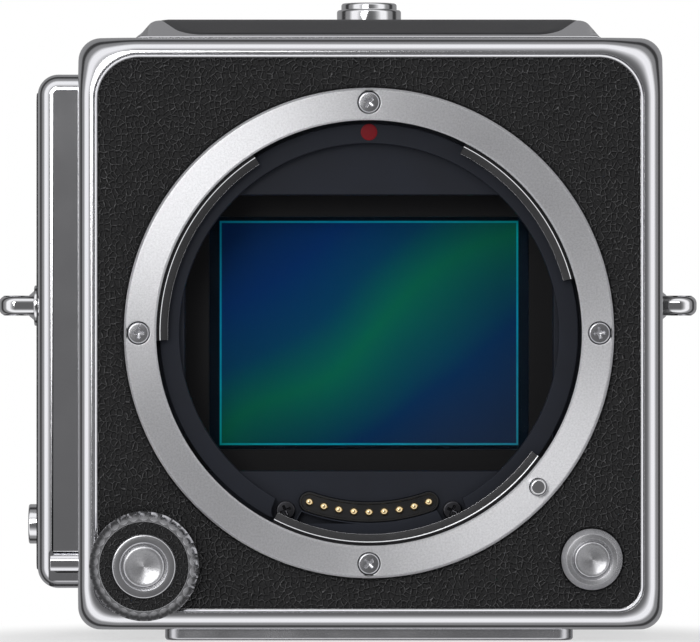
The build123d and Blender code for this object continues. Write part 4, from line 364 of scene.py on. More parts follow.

# %% [markdown]
# ** Leather.** The covering is embossed leatherette: small uneven pebbles parted by thin creases, whose rims
# catch the light. Cell noise gives the distance to the nearest crease, a slow noise bends the cells, and a
# second slow noise makes the creases fade and return, as they do on a stretched hide. The colour paints that
# light as a pale highlight along each crease and a black shade in a furrow beside it. The cells are flat,
# laid out over the sheet. Cells in space would meet the sheet at all angles, and a wall that lies along it
# would show as a smudge.

# %% Leather
def leather(name, cell):
    """Embossed sheet of flat cells, laid out along X + Y and Z. Each crease is a fine ridge painted pale as a
    highlight, with a furrow beside it painted black as shade, and both come and go with a noise whose waves
    are about as long as a cell."""
    material, shader = finish(name, (0.012, 0.012, 0.013), 0.0, 0.5, Specular_IOR_Level=0.3)
    axes = split(material, millimetres(material, (1, 1, 0.86)))
    along = maths(material, "ADD", axes[0], axes[1])
    where = node(material, "CombineXYZ", {0: along, 1: axes[2]}).outputs[0]
    slow = noise(material, where, 1.0 / cell, 2.0).outputs["Color"]
    where = vector_maths(material, "ADD", where, vector_maths(material, "MULTIPLY", slow, (0.8 * cell,) * 3))
    aside = vector_maths(material, "ADD", where, (-0.12 * cell, 0.1 * cell, 0.0))
    cells, furrow = [node(material, "TexVoronoi", {"Vector": at, "Scale": 1 / cell, "Randomness": 0.9},
                          feature="DISTANCE_TO_EDGE", voronoi_dimensions="2D").outputs["Distance"]
                     for at in (where, aside)]
    fine = noise(material, where, 6.0 / cell, 4.0, 0.7).outputs[0]
    come = remap(material, noise(material, where, 1.2 / cell, 3.0, 0.6).outputs[0], 0.36, 0.58, 0.25, 1.0)
    ridge = maths(material, "MULTIPLY", remap(material, cells, 0.0, 0.11, 1.0, 0.0), come)
    furrow_and_painted_shade = maths(material, "MULTIPLY", remap(material, furrow, 0.02, 0.2, 1.0, 0.0), come)
    pillow = remap(material, cells, 0, 0.35, 0, 1)
    height = sums(material, (ridge, 0.6), (furrow_and_painted_shade, -1.0), (fine, 0.3), (pillow, 0.35))
    bump(material, shader, height, 0.32 * cell)
    # Painted light: the ridge term paints a pale highlight on each crease's rim, and the furrow term a black
    # shade beside it, in the ramp below.
    tone = sums(material, (ridge, 0.64), (furrow_and_painted_shade, -0.24), (fine, 0.22))
    tone = colours(material, remap(material, tone, -0.12, 0.62, 0.0, 1.0, False), [
        (0.0, (0.002, 0.002, 0.0022)), (0.3, (0.009, 0.009, 0.0095)), (0.42, (0.013, 0.013, 0.0135)),
        (0.72, (0.08, 0.08, 0.081)), (1.0, (0.19, 0.19, 0.193))])
    join(material, tone, shader.inputs["Base Color"])
    join(material, remap(material, fine, 0.3, 0.8, 0.42, 0.65), shader.inputs["Roughness"])
    return material


LEATHER = leather("black leather", 0.76)
DIAL_LEATHER = leather("dial leather", 0.6)
print("leathers ready")

# %% [markdown]
# **Metals.** The frame is satin chrome, the mount ring blasted nickel that was first turned on a lathe.
# Turning leaves circular marks that stretch each reflection towards and away from the middle, which is why
# two bright fans cross the ring. The shader does that with anisotropy along a tangent that points away from
# the axis.

# %% Metals
DIAL_AT, RELEASE_AT = (-32.3, -33.5), (32.1, -32.6)


def metal(name, colour, rough, spread, grain=0.0, **sockets):
    """Metal whose roughness wanders, with faint handling marks, or with a blasted grain of a depth."""
    material, shader = finish(name, colour, 1.0, rough, **sockets)
    where = millimetres(material)
    cloud = noise(material, where, 0.12, 4.0, 0.6).outputs[0]
    speck = noise(material, where, 5.0, 2.0, 0.7).outputs[0]
    rubbed = sums(material, (cloud, 0.7), (speck, 0.3))
    rough_here = remap(material, rubbed, 0.3, 0.7, rough - spread, rough + spread)
    join(material, rough_here, shader.inputs["Roughness"])
    if grain:
        blasted = noise(material, where, 3.4, 4.0, 0.8).outputs[0]
        bump(material, shader, blasted, grain, 0.5)
        pitted = tuple(0.78 * c for c in colour)
        tone = colours(material, blasted, [(0.36, pitted), (0.64, colour)])
        join(material, tone, shader.inputs["Base Color"])
    else:
        scuffs = noise(material, millimetres(material, (1, 1, 14)), 0.8, 3.0, 0.6).outputs[0]
        bump(material, shader, scuffs, 0.0005, 0.5)
    return material


def spun(name, colour, rough, amount, grain, centre=(0.0, 0.0)):
    """Turned metal: the tangent at a point is its offset from the axis, so highlights stretch that way."""
    material = metal(name, colour, rough, 0.012, grain, Anisotropic=amount)
    where = split(material, millimetres(material))
    across = maths(material, "SUBTRACT", where[0], centre[0])
    up = maths(material, "SUBTRACT", where[2], centre[1])
    outward = node(material, "CombineXYZ", {0: across, 2: up}).outputs[0]
    join(material, vector_maths(material, "NORMALIZE", outward), shader_of(material).inputs["Tangent"])
    return material


def tab_steel():
    """Machined steel whose tone follows the size of the normal's Y, as painted reflection. Walls, at 0, and
    flat faces, at 1, get a painted shade, and the bends and slopes between them a painted highlight."""
    material = metal("machined bayonet steel", (0.62, 0.62, 0.64), 0.22, 0.02)
    facing = maths(material, "ABSOLUTE", split(material, node(material, "TexCoord").outputs["Normal"])[1])
    # Painted reflection: a painted highlight on bends and slopes, and a painted shade on walls and flat
    # faces.
    wear_and_painted_highlight, face = (0.9, 0.9, 0.92), (0.16, 0.16, 0.165)
    tone = colours(material, facing, [(0.0, (0.1, 0.1, 0.105)), (0.75, (0.05, 0.05, 0.052)), (0.8, wear_and_painted_highlight),
                                      (0.95, wear_and_painted_highlight), (0.99, face), (1.0, face)])
    join(material, tone, shader_of(material).inputs["Base Color"])
    return material


CHROME = metal("satin chrome", (0.80, 0.80, 0.82), 0.11, 0.015)
BRIGHT = metal("polished chrome", (0.84, 0.84, 0.85), 0.08, 0.02)
SATIN = metal("satin plate", (0.62, 0.62, 0.64), 0.24, 0.04)
STEEL = metal("screw steel", (0.58, 0.58, 0.60), 0.2, 0.05)
SPRING = metal("spring steel", (0.42, 0.41, 0.40), 0.25, 0.05)
GILT = metal("contact gilt", (0.93, 0.72, 0.40), 0.16, 0.04)
RING = spun("mount ring nickel", (0.88, 0.88, 0.9), 0.34, 0.8, 0.02)
TAB = tab_steel()
DIAL_FACE = metal("turned dial metal", (0.74, 0.74, 0.76), 0.17, 0.02)
BUTTON_FACE = spun("spun button metal", (0.78, 0.78, 0.80), 0.28, 0.7, 0.004, DIAL_AT)
RELEASE_FACE = spun("spun release metal", (0.78, 0.78, 0.80), 0.28, 0.7, 0.004, RELEASE_AT)
BLACK_STEEL = metal("black screw steel", (0.05, 0.05, 0.055), 0.3, 0.05)
SINK = metal("anodised heat sink", (0.3, 0.3, 0.32), 0.35, 0.05)
print("metals ready")

# %% [markdown]
# **Paints, plastics, glass and the sensor.** Painted and moulded parts share one recipe: a fine grain in the
# bump, and a roughness that wanders. The black paint is lighter at its edges, where fingers have polished
# it, which the pointedness of the mesh gives. The sensor's colours are the play of light on its tiny lenses,
# so they are laid out as bands along its diagonal, bent by a slow noise. Sensor and screen both have a
# border, drawn by the distance outside a rectangle.

# %% Paints, plastics and glass
def coated(name, colour, rough, grain_mm, grain_scale, wear_and_painted_highlight=None, **sockets):
    """Paint or moulded plastic with a fine grain, and edges rubbed lighter by wear where a colour for them is
    given.
    """
    material, shader = finish(name, colour, 0.0, rough, **sockets)
    where = millimetres(material)
    grain = noise(material, where, grain_scale, 4.0, 0.65).outputs[0]
    cloud = noise(material, where, 0.15, 3.0).outputs[0]
    bump(material, shader, grain, grain_mm, 0.7)
    rubbed = sums(material, (grain, 0.5), (cloud, 0.5))
    join(material, remap(material, rubbed, 0.3, 0.7, rough - 0.07, rough + 0.07), shader.inputs["Roughness"])
    dark = tuple(0.8 * c for c in colour)
    tone = colours(material, cloud, [(0.35, dark), (0.65, colour)])
    if wear_and_painted_highlight:
        sharpness = node(material, "NewGeometry").outputs["Pointiness"]
        rub = remap(material, sharpness, 0.53, 0.62, 0.0, 0.5)
        mix = node(material, "Mix", data_type="RGBA")
        join(material, rub, mix.inputs[0])
        join(material, tone, mix.inputs[6])
        mix.inputs[7].default_value = (*wear_and_painted_highlight, 1)
        tone = mix.outputs[2]
    join(material, tone, shader.inputs["Base Color"])
    return material


BLACK_PAINT = coated("black crackle paint", (0.022, 0.022, 0.024), 0.42, 0.02, 2.6, (0.09, 0.09, 0.095))
STRIP = coated("anodised name strip", (0.05, 0.05, 0.053), 0.36, 0.006, 6.0)
BAFFLE = coated("baffle black", (0.0155, 0.0185, 0.028), 0.6, 0.006, 5.0, Specular_IOR_Level=0.25)
DEEP = coated("deep black", (0.006, 0.006, 0.007), 0.55, 0.006, 5.0, Specular_IOR_Level=0.2)
FLOCK = coated("flocked black", (0.004, 0.004, 0.005), 0.8, 0.03, 8.0)
PLASTIC = coated("black plastic", (0.008, 0.008, 0.009), 0.32, 0.006, 5.0)
RUBBER = coated("black rubber", (0.015, 0.015, 0.016), 0.6, 0.015, 3.0)
RED = coated("red index paint", (0.27, 0.011, 0.018), 0.45, 0.006, 4.0, Specular_IOR_Level=0.15)
BOARD = coated("circuit board green", (0.01, 0.07, 0.03), 0.4, 0.008, 3.0)
print("paints and plastics ready")

# %% Screen, cover glass and sensor
LIT_AREA, SENSOR_AREA = (31.5, 23.4, 3.3), (21.9, 16.45)


def outside_of(material, half_wide, half_high, middle=0.0):
    """Distance outside an upright rectangle: the larger of |x| less its half width, and |z - middle| less
    its half height. Inside the rectangle it is negative."""
    axes = split(material, millimetres(material))
    level = maths(material, "ABSOLUTE", maths(material, "SUBTRACT", axes[2], middle))
    side = maths(material, "SUBTRACT", maths(material, "ABSOLUTE", axes[0]), half_wide)
    return maths(material, "MAXIMUM", side, maths(material, "SUBTRACT", level, half_high))


def display_glass():
    """Glossy screen with a lit area, a little paler than the black border round it."""
    material = coated("display glass", (0.004, 0.004, 0.005), 0.09, 0.0004, 2.0, Coat_Weight=0.6,
                      Coat_Roughness=0.03)
    border = remap(material, outside_of(material, *LIT_AREA), -0.5, 0.5, 0.0, 1.0, False)
    lit, black = (0.022, 0.026, 0.032), (0.002, 0.002, 0.002)
    tone = colours(material, border, [(0.0, lit), (0.4, lit), (0.5, black)])
    join(material, tone, shader_of(material).inputs["Base Color"])
    return material


def cover_glass():
    """Filter glass with a faint cool tint and dusty roughness."""
    material, shader = finish("cover glass", (0.86, 0.93, 0.98), 0.0, 0.02, IOR=1.1, Transmission_Weight=1.0)
    haze = noise(material, millimetres(material), 0.2, 2.0).outputs[0]
    join(material, remap(material, haze, 0.3, 0.7, 0.01, 0.04), shader.inputs["Roughness"])
    return material


def sensor_face():
    """Diagonal bands of colour inside a bright thin border, on a dark package."""
    material, shader = finish("sensor face", (0.01, 0.02, 0.05), 0.0, 0.3, Specular_IOR_Level=0.06)
    where = millimetres(material)
    axes = split(material, where)
    slow = noise(material, where, 0.035, 1.0).outputs[0]
    band = sums(material, (axes[0], 0.0125), (axes[2], -0.0175), (slow, 0.22))
    tone = colours(material, maths(material, "ADD", band, 0.39), [
        (0.0, (0.0005, 0.03, 0.13)), (0.2, (0.0006, 0.04, 0.18)), (0.36, (0.001, 0.07, 0.15)),
        (0.5, (0.002, 0.19, 0.1)), (0.6, (0.003, 0.12, 0.12)), (0.74, (0.004, 0.045, 0.14)),
        (1.0, (0.03, 0.05, 0.11))])
    outside = outside_of(material, *SENSOR_AREA)
    none, bright = (0, 0, 0), (0.0, 0.45, 0.5)
    line = colours(material, remap(material, outside, -0.6, 0.6, 0.0, 1.0, False), [
        (0.0, none), (0.2, none), (0.28, bright), (0.42, bright), (0.5, none), (1.0, none)])
    package = remap(material, outside, -0.02, 0.02, 1.0, 0.0, False)
    lit = node(material, "Mix", {0: package}, data_type="RGBA")
    lit.inputs[6].default_value = (0.006, 0.012, 0.02, 1)
    join(material, tone, lit.inputs[7])
    edged = node(material, "Mix", {0: 1.0}, data_type="RGBA", blend_type="ADD")
    join(material, lit.outputs[2], edged.inputs[6])
    join(material, line, edged.inputs[7])
    join(material, edged.outputs[2], shader.inputs["Base Color"])
    return material


DISPLAY = display_glass()
GLASS = cover_glass()
SENSOR = sensor_face()
print(len(bpy.data.materials), "materials in the file")

# %% [markdown]
# ## The body's frame
# The frame is one band of metal bent round four corners. From outside in it has a flat wall, a broad rounded
# crown, a steep inner wall, a thin groove and a thin bright lip round the leather. The outer corners are
# small and the pocket's corners are large, so the crown is wider there. One profile can't do that by itself:
# each point of the profile has its own rounded rectangle, and neighbouring rectangles have the same number
# of points.

# %% Body frame
HALF_W, HALF_H, TOP = 42.0, 42.4, 42.62
CREST, REAR = 0.6, 24.0
CORNER_R, POCKET_LOW_R, POCKET_HIGH_R = 3.2, 3.4, 6.1
BEZEL_SIDE, BEZEL_TOP, CROWN_FOOT = 2.8, 2.6, -0.5
BULGE = 0.42


def outer_loop(inset, bulge=0.0):
    """Outer rounded rectangle of the body, drawn in, with the rim bulging out at the right and at the foot.
    Each point lies straight out from a point of the pocket's corner, on the ray d from that corner's centre
    C. The ray meets a side, or the corner's arc of radius R about K. For the arc its length is sqrt((m.d)^2
    - m.m + R^2) - m.d, with m = C - K."""
    ends = ((HALF_W, HALF_H + bulge), (HALF_W + bulge, HALF_H + bulge), (HALF_W + bulge, TOP), (HALF_W, TOP))
    signs = ((-1, -1), (1, -1), (1, 1), (-1, 1))
    radius = max(CORNER_R - inset, 1.4)
    loop = []
    for corner, sign, end in zip(pocket_loop(CROWN_FOOT).reshape(4, -1, 2), signs, ends):
        points = corner * sign
        centre = points.min(axis=0)
        ray = (points - centre) / np.linalg.norm(points - centre, axis=1)[:, None]
        reach = np.array(end) - inset
        knee = reach - radius
        side, over = ((reach - centre) / np.maximum(ray, 1e-9)).T
        m = centre - knee
        bend = np.sqrt(np.maximum((ray @ m) ** 2 - m @ m + radius ** 2, 0)) - ray @ m
        t = np.where(centre[0] + over * ray[:, 0] <= knee[0], over, bend)
        t = np.where(centre[1] + side * ray[:, 1] <= knee[1], side, t)
        loop.append((centre + t[:, None] * ray) * sign)
    return np.concatenate(loop)


def pocket_loop(inset):
    """Rounded rectangle of the leather's pocket, drawn in: larger corners above than below."""
    low, high = max(POCKET_LOW_R - inset, 0.5), max(POCKET_HIGH_R - inset, 0.5)
    side, top = BEZEL_SIDE + inset, BEZEL_TOP + inset
    return rectangle(-HALF_W + side, HALF_W - side, -HALF_H + top, HALF_H - top, (low, low, high, high), 36)


def body_frame():
    """Closed tube of rings. The crown runs along a quarter ellipse while each ring blends the outer outline
    into the pocket's. It is as deep at a point as it is wide there, so the corners, where it is wide, fall
    back further and keep the same slopes. Then come the groove, the lip and the walls."""
    turn = np.linspace(0, np.pi / 2, 21)
    outside, inside = outer_loop(0.0, BULGE), pocket_loop(CROWN_FOOT)
    width = np.linalg.norm(outside - inside, axis=1)
    rings = [(outside + (inside - outside) * (1 - math.cos(a)), CREST + width * (1 - math.sin(a)))
             for a in turn]
    inner = rounded([(CROWN_FOOT, CREST), (-0.45, CREST), (-0.42, 1.5), (-0.33, 1.5), (-0.31, 0.82),
                     (-0.02, 0.98), (0.0, 1.4), (0.1, 1.4), (0.1, 4.4), (0.9, 4.4), (0.9, 23.9)],
                    [0, 0.03, 0.03, 0.03, 0.05, 0.05, 0.03, 0.03, 0, 0, 0], 4)
    rings += [(pocket_loop(inset), depth) for inset, depth in inner[1:]]
    rear = rounded([(1.5, REAR), (0, REAR), (0, REAR - 1)], [0, 0.5, 0], 4)
    rings += [(outer_loop(inset), depth) for inset, depth in rear]
    rings += [(outer_loop(0.0), 0.9 + width), (outside, 0.7 + width)]
    grid = np.stack([place(*loop.T, depth, "Y") for loop, depth in rings])
    return skin([grid], joined=True)


build("body_frame", body_frame(), CHROME, "camera", ("body_shell",), sharp=40)
print("body frame:", MADE["body_frame"], "faces")

# %% [markdown]
# **Leather panels.** The front panel is a sheet with three holes, for the ring, the dial's sleeve and the
# release button's collar. Its edge is turned down a little, as pressed leatherette is. The side panels lie
# in shallow recesses, one on the body with a hole for the strap lug and one on the back.

# %% Leather panels
RING_R, SLEEVE_R, COLLAR_R, LUG_R = 35.3, 4.2, 4.42, 2.95
LUG_AT = (16.0, 4.0)
LEATHER_Y, SIDE_LOW, SIDE_HIGH = 1.2, -36.3, 36.3
front_sheet = [pocket_loop(0.08), circle(RING_R + 0.12, count=160, hole=True),
               circle(SLEEVE_R + 0.12, DIAL_AT, hole=True), circle(COLLAR_R + 0.1, RELEASE_AT, hole=True)]
front_form = plate_form(front_sheet, edge(LEATHER_Y, LEATHER_Y + 0.7, 0.3))
build("leather_panel", front_form, LEATHER, "camera", ("front_leather",))
side_sheets = [
    plate_form([rectangle(3.7, 22.4, SIDE_LOW, SIDE_HIGH, 2.0), circle(LUG_R + 0.13, LUG_AT, hole=True)],
               edge(HALF_W + 0.35, 41.5, 0.25), "X"),
    plate_form([rectangle(25.9, 41.4, SIDE_LOW, SIDE_HIGH, 2.0)], edge(HALF_W + 0.3, 41.5, 0.25), "X")]
build("leather_sides", merged(side_sheets), LEATHER, "camera", ("side_leathers",))
print("leather panels:", MADE["leather_panel"], MADE["leather_sides"], "faces")

# %% [markdown]
# **Ridge and name strip.** The ridge on top is a low pressed form. It is a height over the plan: the lower
# of a front slope and a trapezoid with round shoulders, with the two blended where they meet. The dark strip
# follows the same height a little above it, between sides that widen along the slope.

# %% Ridge and strip
def lower(a, b, blend):
    """Smooth minimum: half of the sum less the root of the squared difference and blend."""
    return (a + b - np.sqrt((a - b) ** 2 + blend ** 2)) / 2


RIDGE_FRONT, RIDGE_FOOT, RIDGE_HALF = 3.0, 42.2, 34.1
SLOPE = rounded([(RIDGE_FRONT, RIDGE_FOOT), (RIDGE_FRONT, 42.9), (9.8, 45.52), (REAR, 45.52)],
                [0, 0.3, 5.0, 0], 10)
SHOULDER = rounded([(-RIDGE_HALF, 42.3), (-31.3, 45.5), (31.3, 45.5), (RIDGE_HALF, 42.3)],
                   [0, 2.2, 2.2, 0], 14)


def ridge_height(x, y):
    """Height of the ridge over a point of the plan: the smooth minimum of the slope and the shoulders."""
    return lower(np.interp(y, *SLOPE[2:].T), np.interp(x, *SHOULDER.T), 0.12)


def ridge():
    """Closed loops in Y and Z, one for each place across, with both ends filled."""
    x = np.unique(np.concatenate([SHOULDER[:, 0], np.linspace(-RIDGE_HALF, RIDGE_HALF, 60)]))[:, None]
    y = np.unique(np.concatenate([SLOPE[:, 0], np.linspace(10, REAR, 20)]))
    top = np.maximum(ridge_height(x, y), RIDGE_FOOT)
    heights = np.pad(top, ((0, 0), (1, 1)), constant_values=RIDGE_FOOT)
    return skin([place(x, np.pad(y, 1, mode="edge"), heights, "Z")])


def strip():
    """Loops across the strip, one for each depth, a little above the ridge. Both edges turn down by a
    parabola and end inside the ridge, and the front corners are round."""
    front, radius = 3.55, 2.4
    arc = front + radius * (1 - np.cos(np.linspace(0, np.pi / 2, 12)))
    y = np.concatenate([arc, np.linspace(6.5, REAR - 0.1, 26)])
    half = np.interp(y, [3.5, 9.8, REAR], [26.8, 30.2, 30.2])
    half += np.sqrt(np.clip(radius ** 2 - np.clip(front + radius - y, 0, radius) ** 2, 0, None)) - radius
    x = half[:, None] * np.pad(np.linspace(-1, 1, 61), 1, mode="edge")
    rise = 0.14 - 0.12 * np.clip((np.abs(x) - half[:, None] + 0.25) / 0.25, 0, 1) ** 2
    rise -= 0.12 * np.clip((3.9 - y) / 0.35, 0, 1)[:, None] ** 2
    rise[:, [0, -1]] = -0.35
    return skin([place(x, y[:, None], ridge_height(x, y[:, None]) + rise, "Z")])


build("ridge", ridge(), CHROME, "camera", ("top_ridge",))
build("strip", strip(), STRIP, "camera", ("name_strip",))
print("ridge and strip:", MADE["ridge"], MADE["strip"], "faces")

# %% [markdown]
# **Cheek and strap lugs.** The cheek is a plate with a broad round edge. Its inner side is hidden in the
# body, so the outline simply runs on into it. Near its foot a slot ends in a dark floor, and a rounded block
# fills the slot's upper part. Each lug is a flat loop with soft edges on a flange that flares into it.

# %% Cheek and lugs
CHEEK_X = -48.2
cheek_outline = [rectangle(CHEEK_X, -38.7, -37.1, 37.6, (3.0, 2.7, 2.7, 3.0), 12),
                 rectangle(-46.35, -42.08, -35.8, -31.75, 0.3, 4, hole=True)]
cheek_form = plate_form(cheek_outline, [edge(9.0, 23.9, 2.3, 0.1, 12), edge(9.0, 23.9, 0.12, 0.1, 3)])
slot_floor = plate_form([rectangle(-46.5, -41.5, -36.8, -31.5, 0.3)], edge(10.0, 10.4))
end_block = plate_form([rectangle(8.7, 12.0, -35.1, -31.8, 1.4, 12)], edge(-46.3, -42.12, 0.1, 0.1), "X")
build("cheek", cheek_form, CHROME, "camera", ("side_cheek",), sharp=40)
build("cheek_slot_floor", slot_floor, PLASTIC, "camera", ())
build("cheek_end_block", end_block, CHROME, "camera", ("cheek_block",))


def lug(side, x):
    """Strap lug on the side face at x; side is 1 on the right and -1 on the left. In plan the loop is half a
    circle, tied to the face and pierced by the eye. A turned flange flares into it."""
    nose = x + side * 3.3
    t = np.radians(np.linspace(-90, 90, 33))
    far = np.stack([nose + 2.6 * side * np.cos(t), LUG_AT[0] + 2.6 * np.sin(t)], axis=-1)
    near = np.array([(x + side * 0.2, LUG_AT[0] + 2.3), (x + side * 0.2, LUG_AT[0] - 2.3)])
    loop = np.concatenate([far, near])[::side]
    hole = circle(1.5, (nose, LUG_AT[0]), 40, hole=True)
    eye = plate_form([loop, hole], [edge(2.55, 5.45, 1.1, 1.1, 8), edge(2.55, 5.45, 0.5, 0.5, 5)], "Z")
    flare = rounded([(0.01, 0.0), (LUG_R, 0.0), (LUG_R, 0.7), (2.2, 0.7), (1.5, 1.5), (0.01, 1.5)],
                    [0, 0.05, 0.18, 0.3, 0.4, 0], 5)
    flare[:, 1] = x + side * flare[:, 1]
    return merged([eye, turned_form(flare, LUG_AT, "X", 64)])


build("lug_left", lug(-1, CHEEK_X), BRIGHT, "camera", ("strap_lug_left",))
build("lug_right", lug(1, HALF_W), BRIGHT, "camera", ("strap_lug_right",))
print("cheek and lugs:", MADE["cheek"], MADE["lug_left"], "faces")

# %% [markdown]
# ## The mount ring
# The lens seats on this ring. It is a flat plate with a bore, four screw seats and a hole for the lock pin,
# a thin hub behind, and three tabs that the lens hooks under. The plate's outline and its holes share one
# skin, so no cutting is needed. Each tab is one section carried round part of a circle.

# %% Mount ring
BORE_R, BAFFLE_R, STEP_R = 30.65, 30.2, 27.4
SCREW_CIRCLE, PIN_CIRCLE, PIN_ANGLE = 33.2, 32.9, -42.3
SCREW_SEAT_R, SCREW_R, PIN_R = 1.68, 1.56, 1.18
PLATE_REAR = 1.9
TAB_SPANS = ((15, 63), (123, 182), (243, 324))


def bevelled(front, rear, amount, soft=0.06):
    """Edge profile with a flat bevel at the front, as (inset, depth) pairs."""
    corners = [(amount + 0.12, front), (amount, front), (0, front + amount), (0, rear), (0.08, rear)]
    return rounded(corners, [0, soft, soft, 0.04, 0], 3)


def mount_ring():
    """Plate with its bore, four screw seats and the pin's hole in one skin, and the turned hub behind it."""
    bore = [(0.34, 0.0), (0.26, 0.0), (0.02, 0.2), (0.0, 0.28), (0.0, 1.15), (0.06, 1.2), (0.5, 1.2),
            (0.5, PLATE_REAR)]
    loops = [circle(RING_R, count=288), circle(BORE_R, count=288, hole=True)]
    profiles = [bevelled(0.0, PLATE_REAR, 0.36), bore]
    for side in range(4):
        loops.append(circle(SCREW_SEAT_R, on_circle(SCREW_CIRCLE, 90 * side), 48, hole=True))
        profiles.append(edge(0.0, PLATE_REAR, 0.1))
    loops.append(circle(PIN_R + 0.08, on_circle(PIN_CIRCLE, PIN_ANGLE), 48, hole=True))
    profiles.append(edge(0.0, PLATE_REAR, 0.12))
    hub = rounded([(31.15, 1.5), (31.9, 1.5), (31.9, 4.4), (31.15, 4.4)], 0.1, 3, closed=True)
    return merged([plate_form(loops, profiles), turned_form(hub, count=192, joined=True)])


def bayonet_tabs():
    """Three tabs, each a section carried round an arc: from the bore inwards a slope, a bend and a flat."""
    tab = rounded([(31.3, 1.25), (30.66, 1.25), (30.12, 1.78), (29.0, 1.78), (29.0, 3.3), (31.3, 3.3)],
                  [0, 0.06, 0.3, 0.03, 0.2, 0], 6, closed=True)
    return merged([turned_form(tab, arc=(low, high), count=2 * (high - low)) for low, high in TAB_SPANS])


build("mount_ring", mount_ring(), RING, "camera", ("lens_mount_ring",), sharp=30)
build("bayonet_tabs", bayonet_tabs(), TAB, "camera", ())
print("mount ring and tabs:", MADE["mount_ring"], MADE["bayonet_tabs"], "faces")

# %% [markdown]
# **Screws.** A screw head is a disc of rings whose depth is a function of its place: a shallow dome, less
# the cross, whose walls and floor slope as the punch's do.

# %% Screws
def screw_head(at, face, radius, skirt, turn, axis="Y", span=1.75, width=0.4):
    """Screw head as rings of points. The cross is the nearer of two bars; its depth grows with the distance
    inside a bar's outline and falls off from the middle to the arms' ends."""
    ease, deep = 0.22, 0.55
    out = np.concatenate([np.linspace(0, span / 2 + 0.1, 26), np.linspace(span / 2 + 0.18, radius - ease, 5)])
    t = np.linspace(0, 2 * np.pi, 120, endpoint=False)
    r = out[:, None]
    u, v = np.abs(r * np.cos(t)), np.abs(r * np.sin(t))
    bar = np.minimum(np.maximum(u - span / 2, v - width / 2), np.maximum(v - span / 2, u - width / 2))
    depth = face + 0.05 * (r / radius) ** 2 + np.clip(-bar / 0.1, 0, 1) * deep * (1 - 0.75 * r / span)
    side = quarter(radius - ease, face + 0.05 + ease, ease, ease, 6)[1:] + [(radius, skirt), (0, skirt)]
    side_r, side_d = np.array(side).T[:, :, None] + 0 * t
    rows_r, rows_d = np.concatenate([r + 0 * t, side_r]), np.concatenate([depth, side_d])
    turned = t + math.radians(turn)
    grid = place(at[0] + rows_r * np.cos(turned), at[1] + rows_r * np.sin(turned), rows_d, axis)
    return skin([grid], ends=False)


BASE_SCREWS = ((-24, 7.0), (24, 7.0), (-24, 19.9), (24, 19.9))
BLOCK_SCREW_CIRCLE, BLOCK_SCREW_ANGLES = 28.35, (244.8, 295.2)
screws = [screw_head(on_circle(SCREW_CIRCLE, 90 * k), 0.12, SCREW_R, 1.3, turn)
          for k, turn in enumerate((8, 52, 2, 44))]
screws += [screw_head(at, -44.3, SCREW_R, -43.0, turn, "Z")
           for at, turn in zip(BASE_SCREWS, (10, 35, 70, 20))]
build("mount_screws", merged(screws), STEEL, "camera", ("body_screws",), sharp=40)
black_screws = [screw_head(on_circle(BLOCK_SCREW_CIRCLE, angle), 4.2, 1.4, 5.4, turn, span=1.6, width=0.36)
                for angle, turn in zip(BLOCK_SCREW_ANGLES, (25, 65))]
build("throat_screws", merged(black_screws), BLACK_STEEL, "camera", ("block_screws",),
      sharp=40)
print("screws:", MADE["mount_screws"], MADE["throat_screws"], "faces")

# %% [markdown]
# ## The throat
# Behind the ring a black baffle keeps stray light from the sensor. It has a raised step round it with a
# notch beside each small screw, a floor with a wide opening, and a box behind the opening. Both openings are
# drawn as a radius for each angle, because a radius can take the nearer of several limits at once.

# %% Light baffle
OPENING_W, OPENING_H, NOTCH_R = 26.7, 20.0, 2.0


def step_loop():
    """Inner edge of the step: its own radius, or the far side of a notch's circle where that is further."""
    degrees = np.arange(0, 360, 0.5)
    radius = np.full(len(degrees), STEP_R)
    for middle in BLOCK_SCREW_ANGLES:
        off = np.radians(degrees - middle)
        inside = NOTCH_R ** 2 - (BLOCK_SCREW_CIRCLE * np.sin(off)) ** 2
        far = BLOCK_SCREW_CIRCLE * np.cos(off) + np.sqrt(np.clip(inside, 0, None))
        radius = np.where((inside > 0) & (np.abs(off) < 0.2), np.maximum(radius, far), radius)
    t = np.radians(degrees)
    return np.stack([radius * np.cos(t), radius * np.sin(t)], axis=-1)[::-1]


def opening_loop():
    """Opening in the floor: the nearest of the circle, the two sides, and the top and foot. The corners
    where they meet have points of their own, at the arc cosine or sine of a side over the radius."""
    corners = np.degrees([math.acos(OPENING_W / STEP_R), math.asin(OPENING_H / STEP_R)])
    marks = [c for a in corners for c in (a, 180 - a, 180 + a, 360 - a)]
    t = np.radians(np.unique(np.round(np.concatenate([np.arange(0, 360, 1.0), marks]), 4)))
    across = OPENING_W / np.maximum(np.abs(np.cos(t)), 1e-6)
    upward = OPENING_H / np.maximum(np.abs(np.sin(t)), 1e-6)
    radius = np.minimum(np.minimum(across, upward), STEP_R - 0.02)
    return np.stack([radius * np.cos(t), radius * np.sin(t)], axis=-1)[::-1]


def arc_loop(radius, half_width, low, high, hole=False):
    """Bent slot round the lens axis with round ends, from one angle to the other."""
    arc = np.radians(np.linspace(low, high, 41))
    end = np.radians(np.linspace(0, 180, 13)[1:-1])
    middle = np.stack([np.cos(arc), np.sin(arc)], axis=-1)
    outer, inner = middle * (radius + half_width), (middle * (radius - half_width))[::-1]
    caps = []
    for angle, base in ((high, 0.0), (low, math.pi)):
        tip = np.array(on_circle(radius, angle))
        turn = end + base + math.radians(angle)
        caps.append(tip + half_width * np.stack([np.cos(turn), np.sin(turn)], axis=-1))
    loop = np.concatenate([outer, caps[0], inner, caps[1]])
    return loop[::-1] if hole else loop


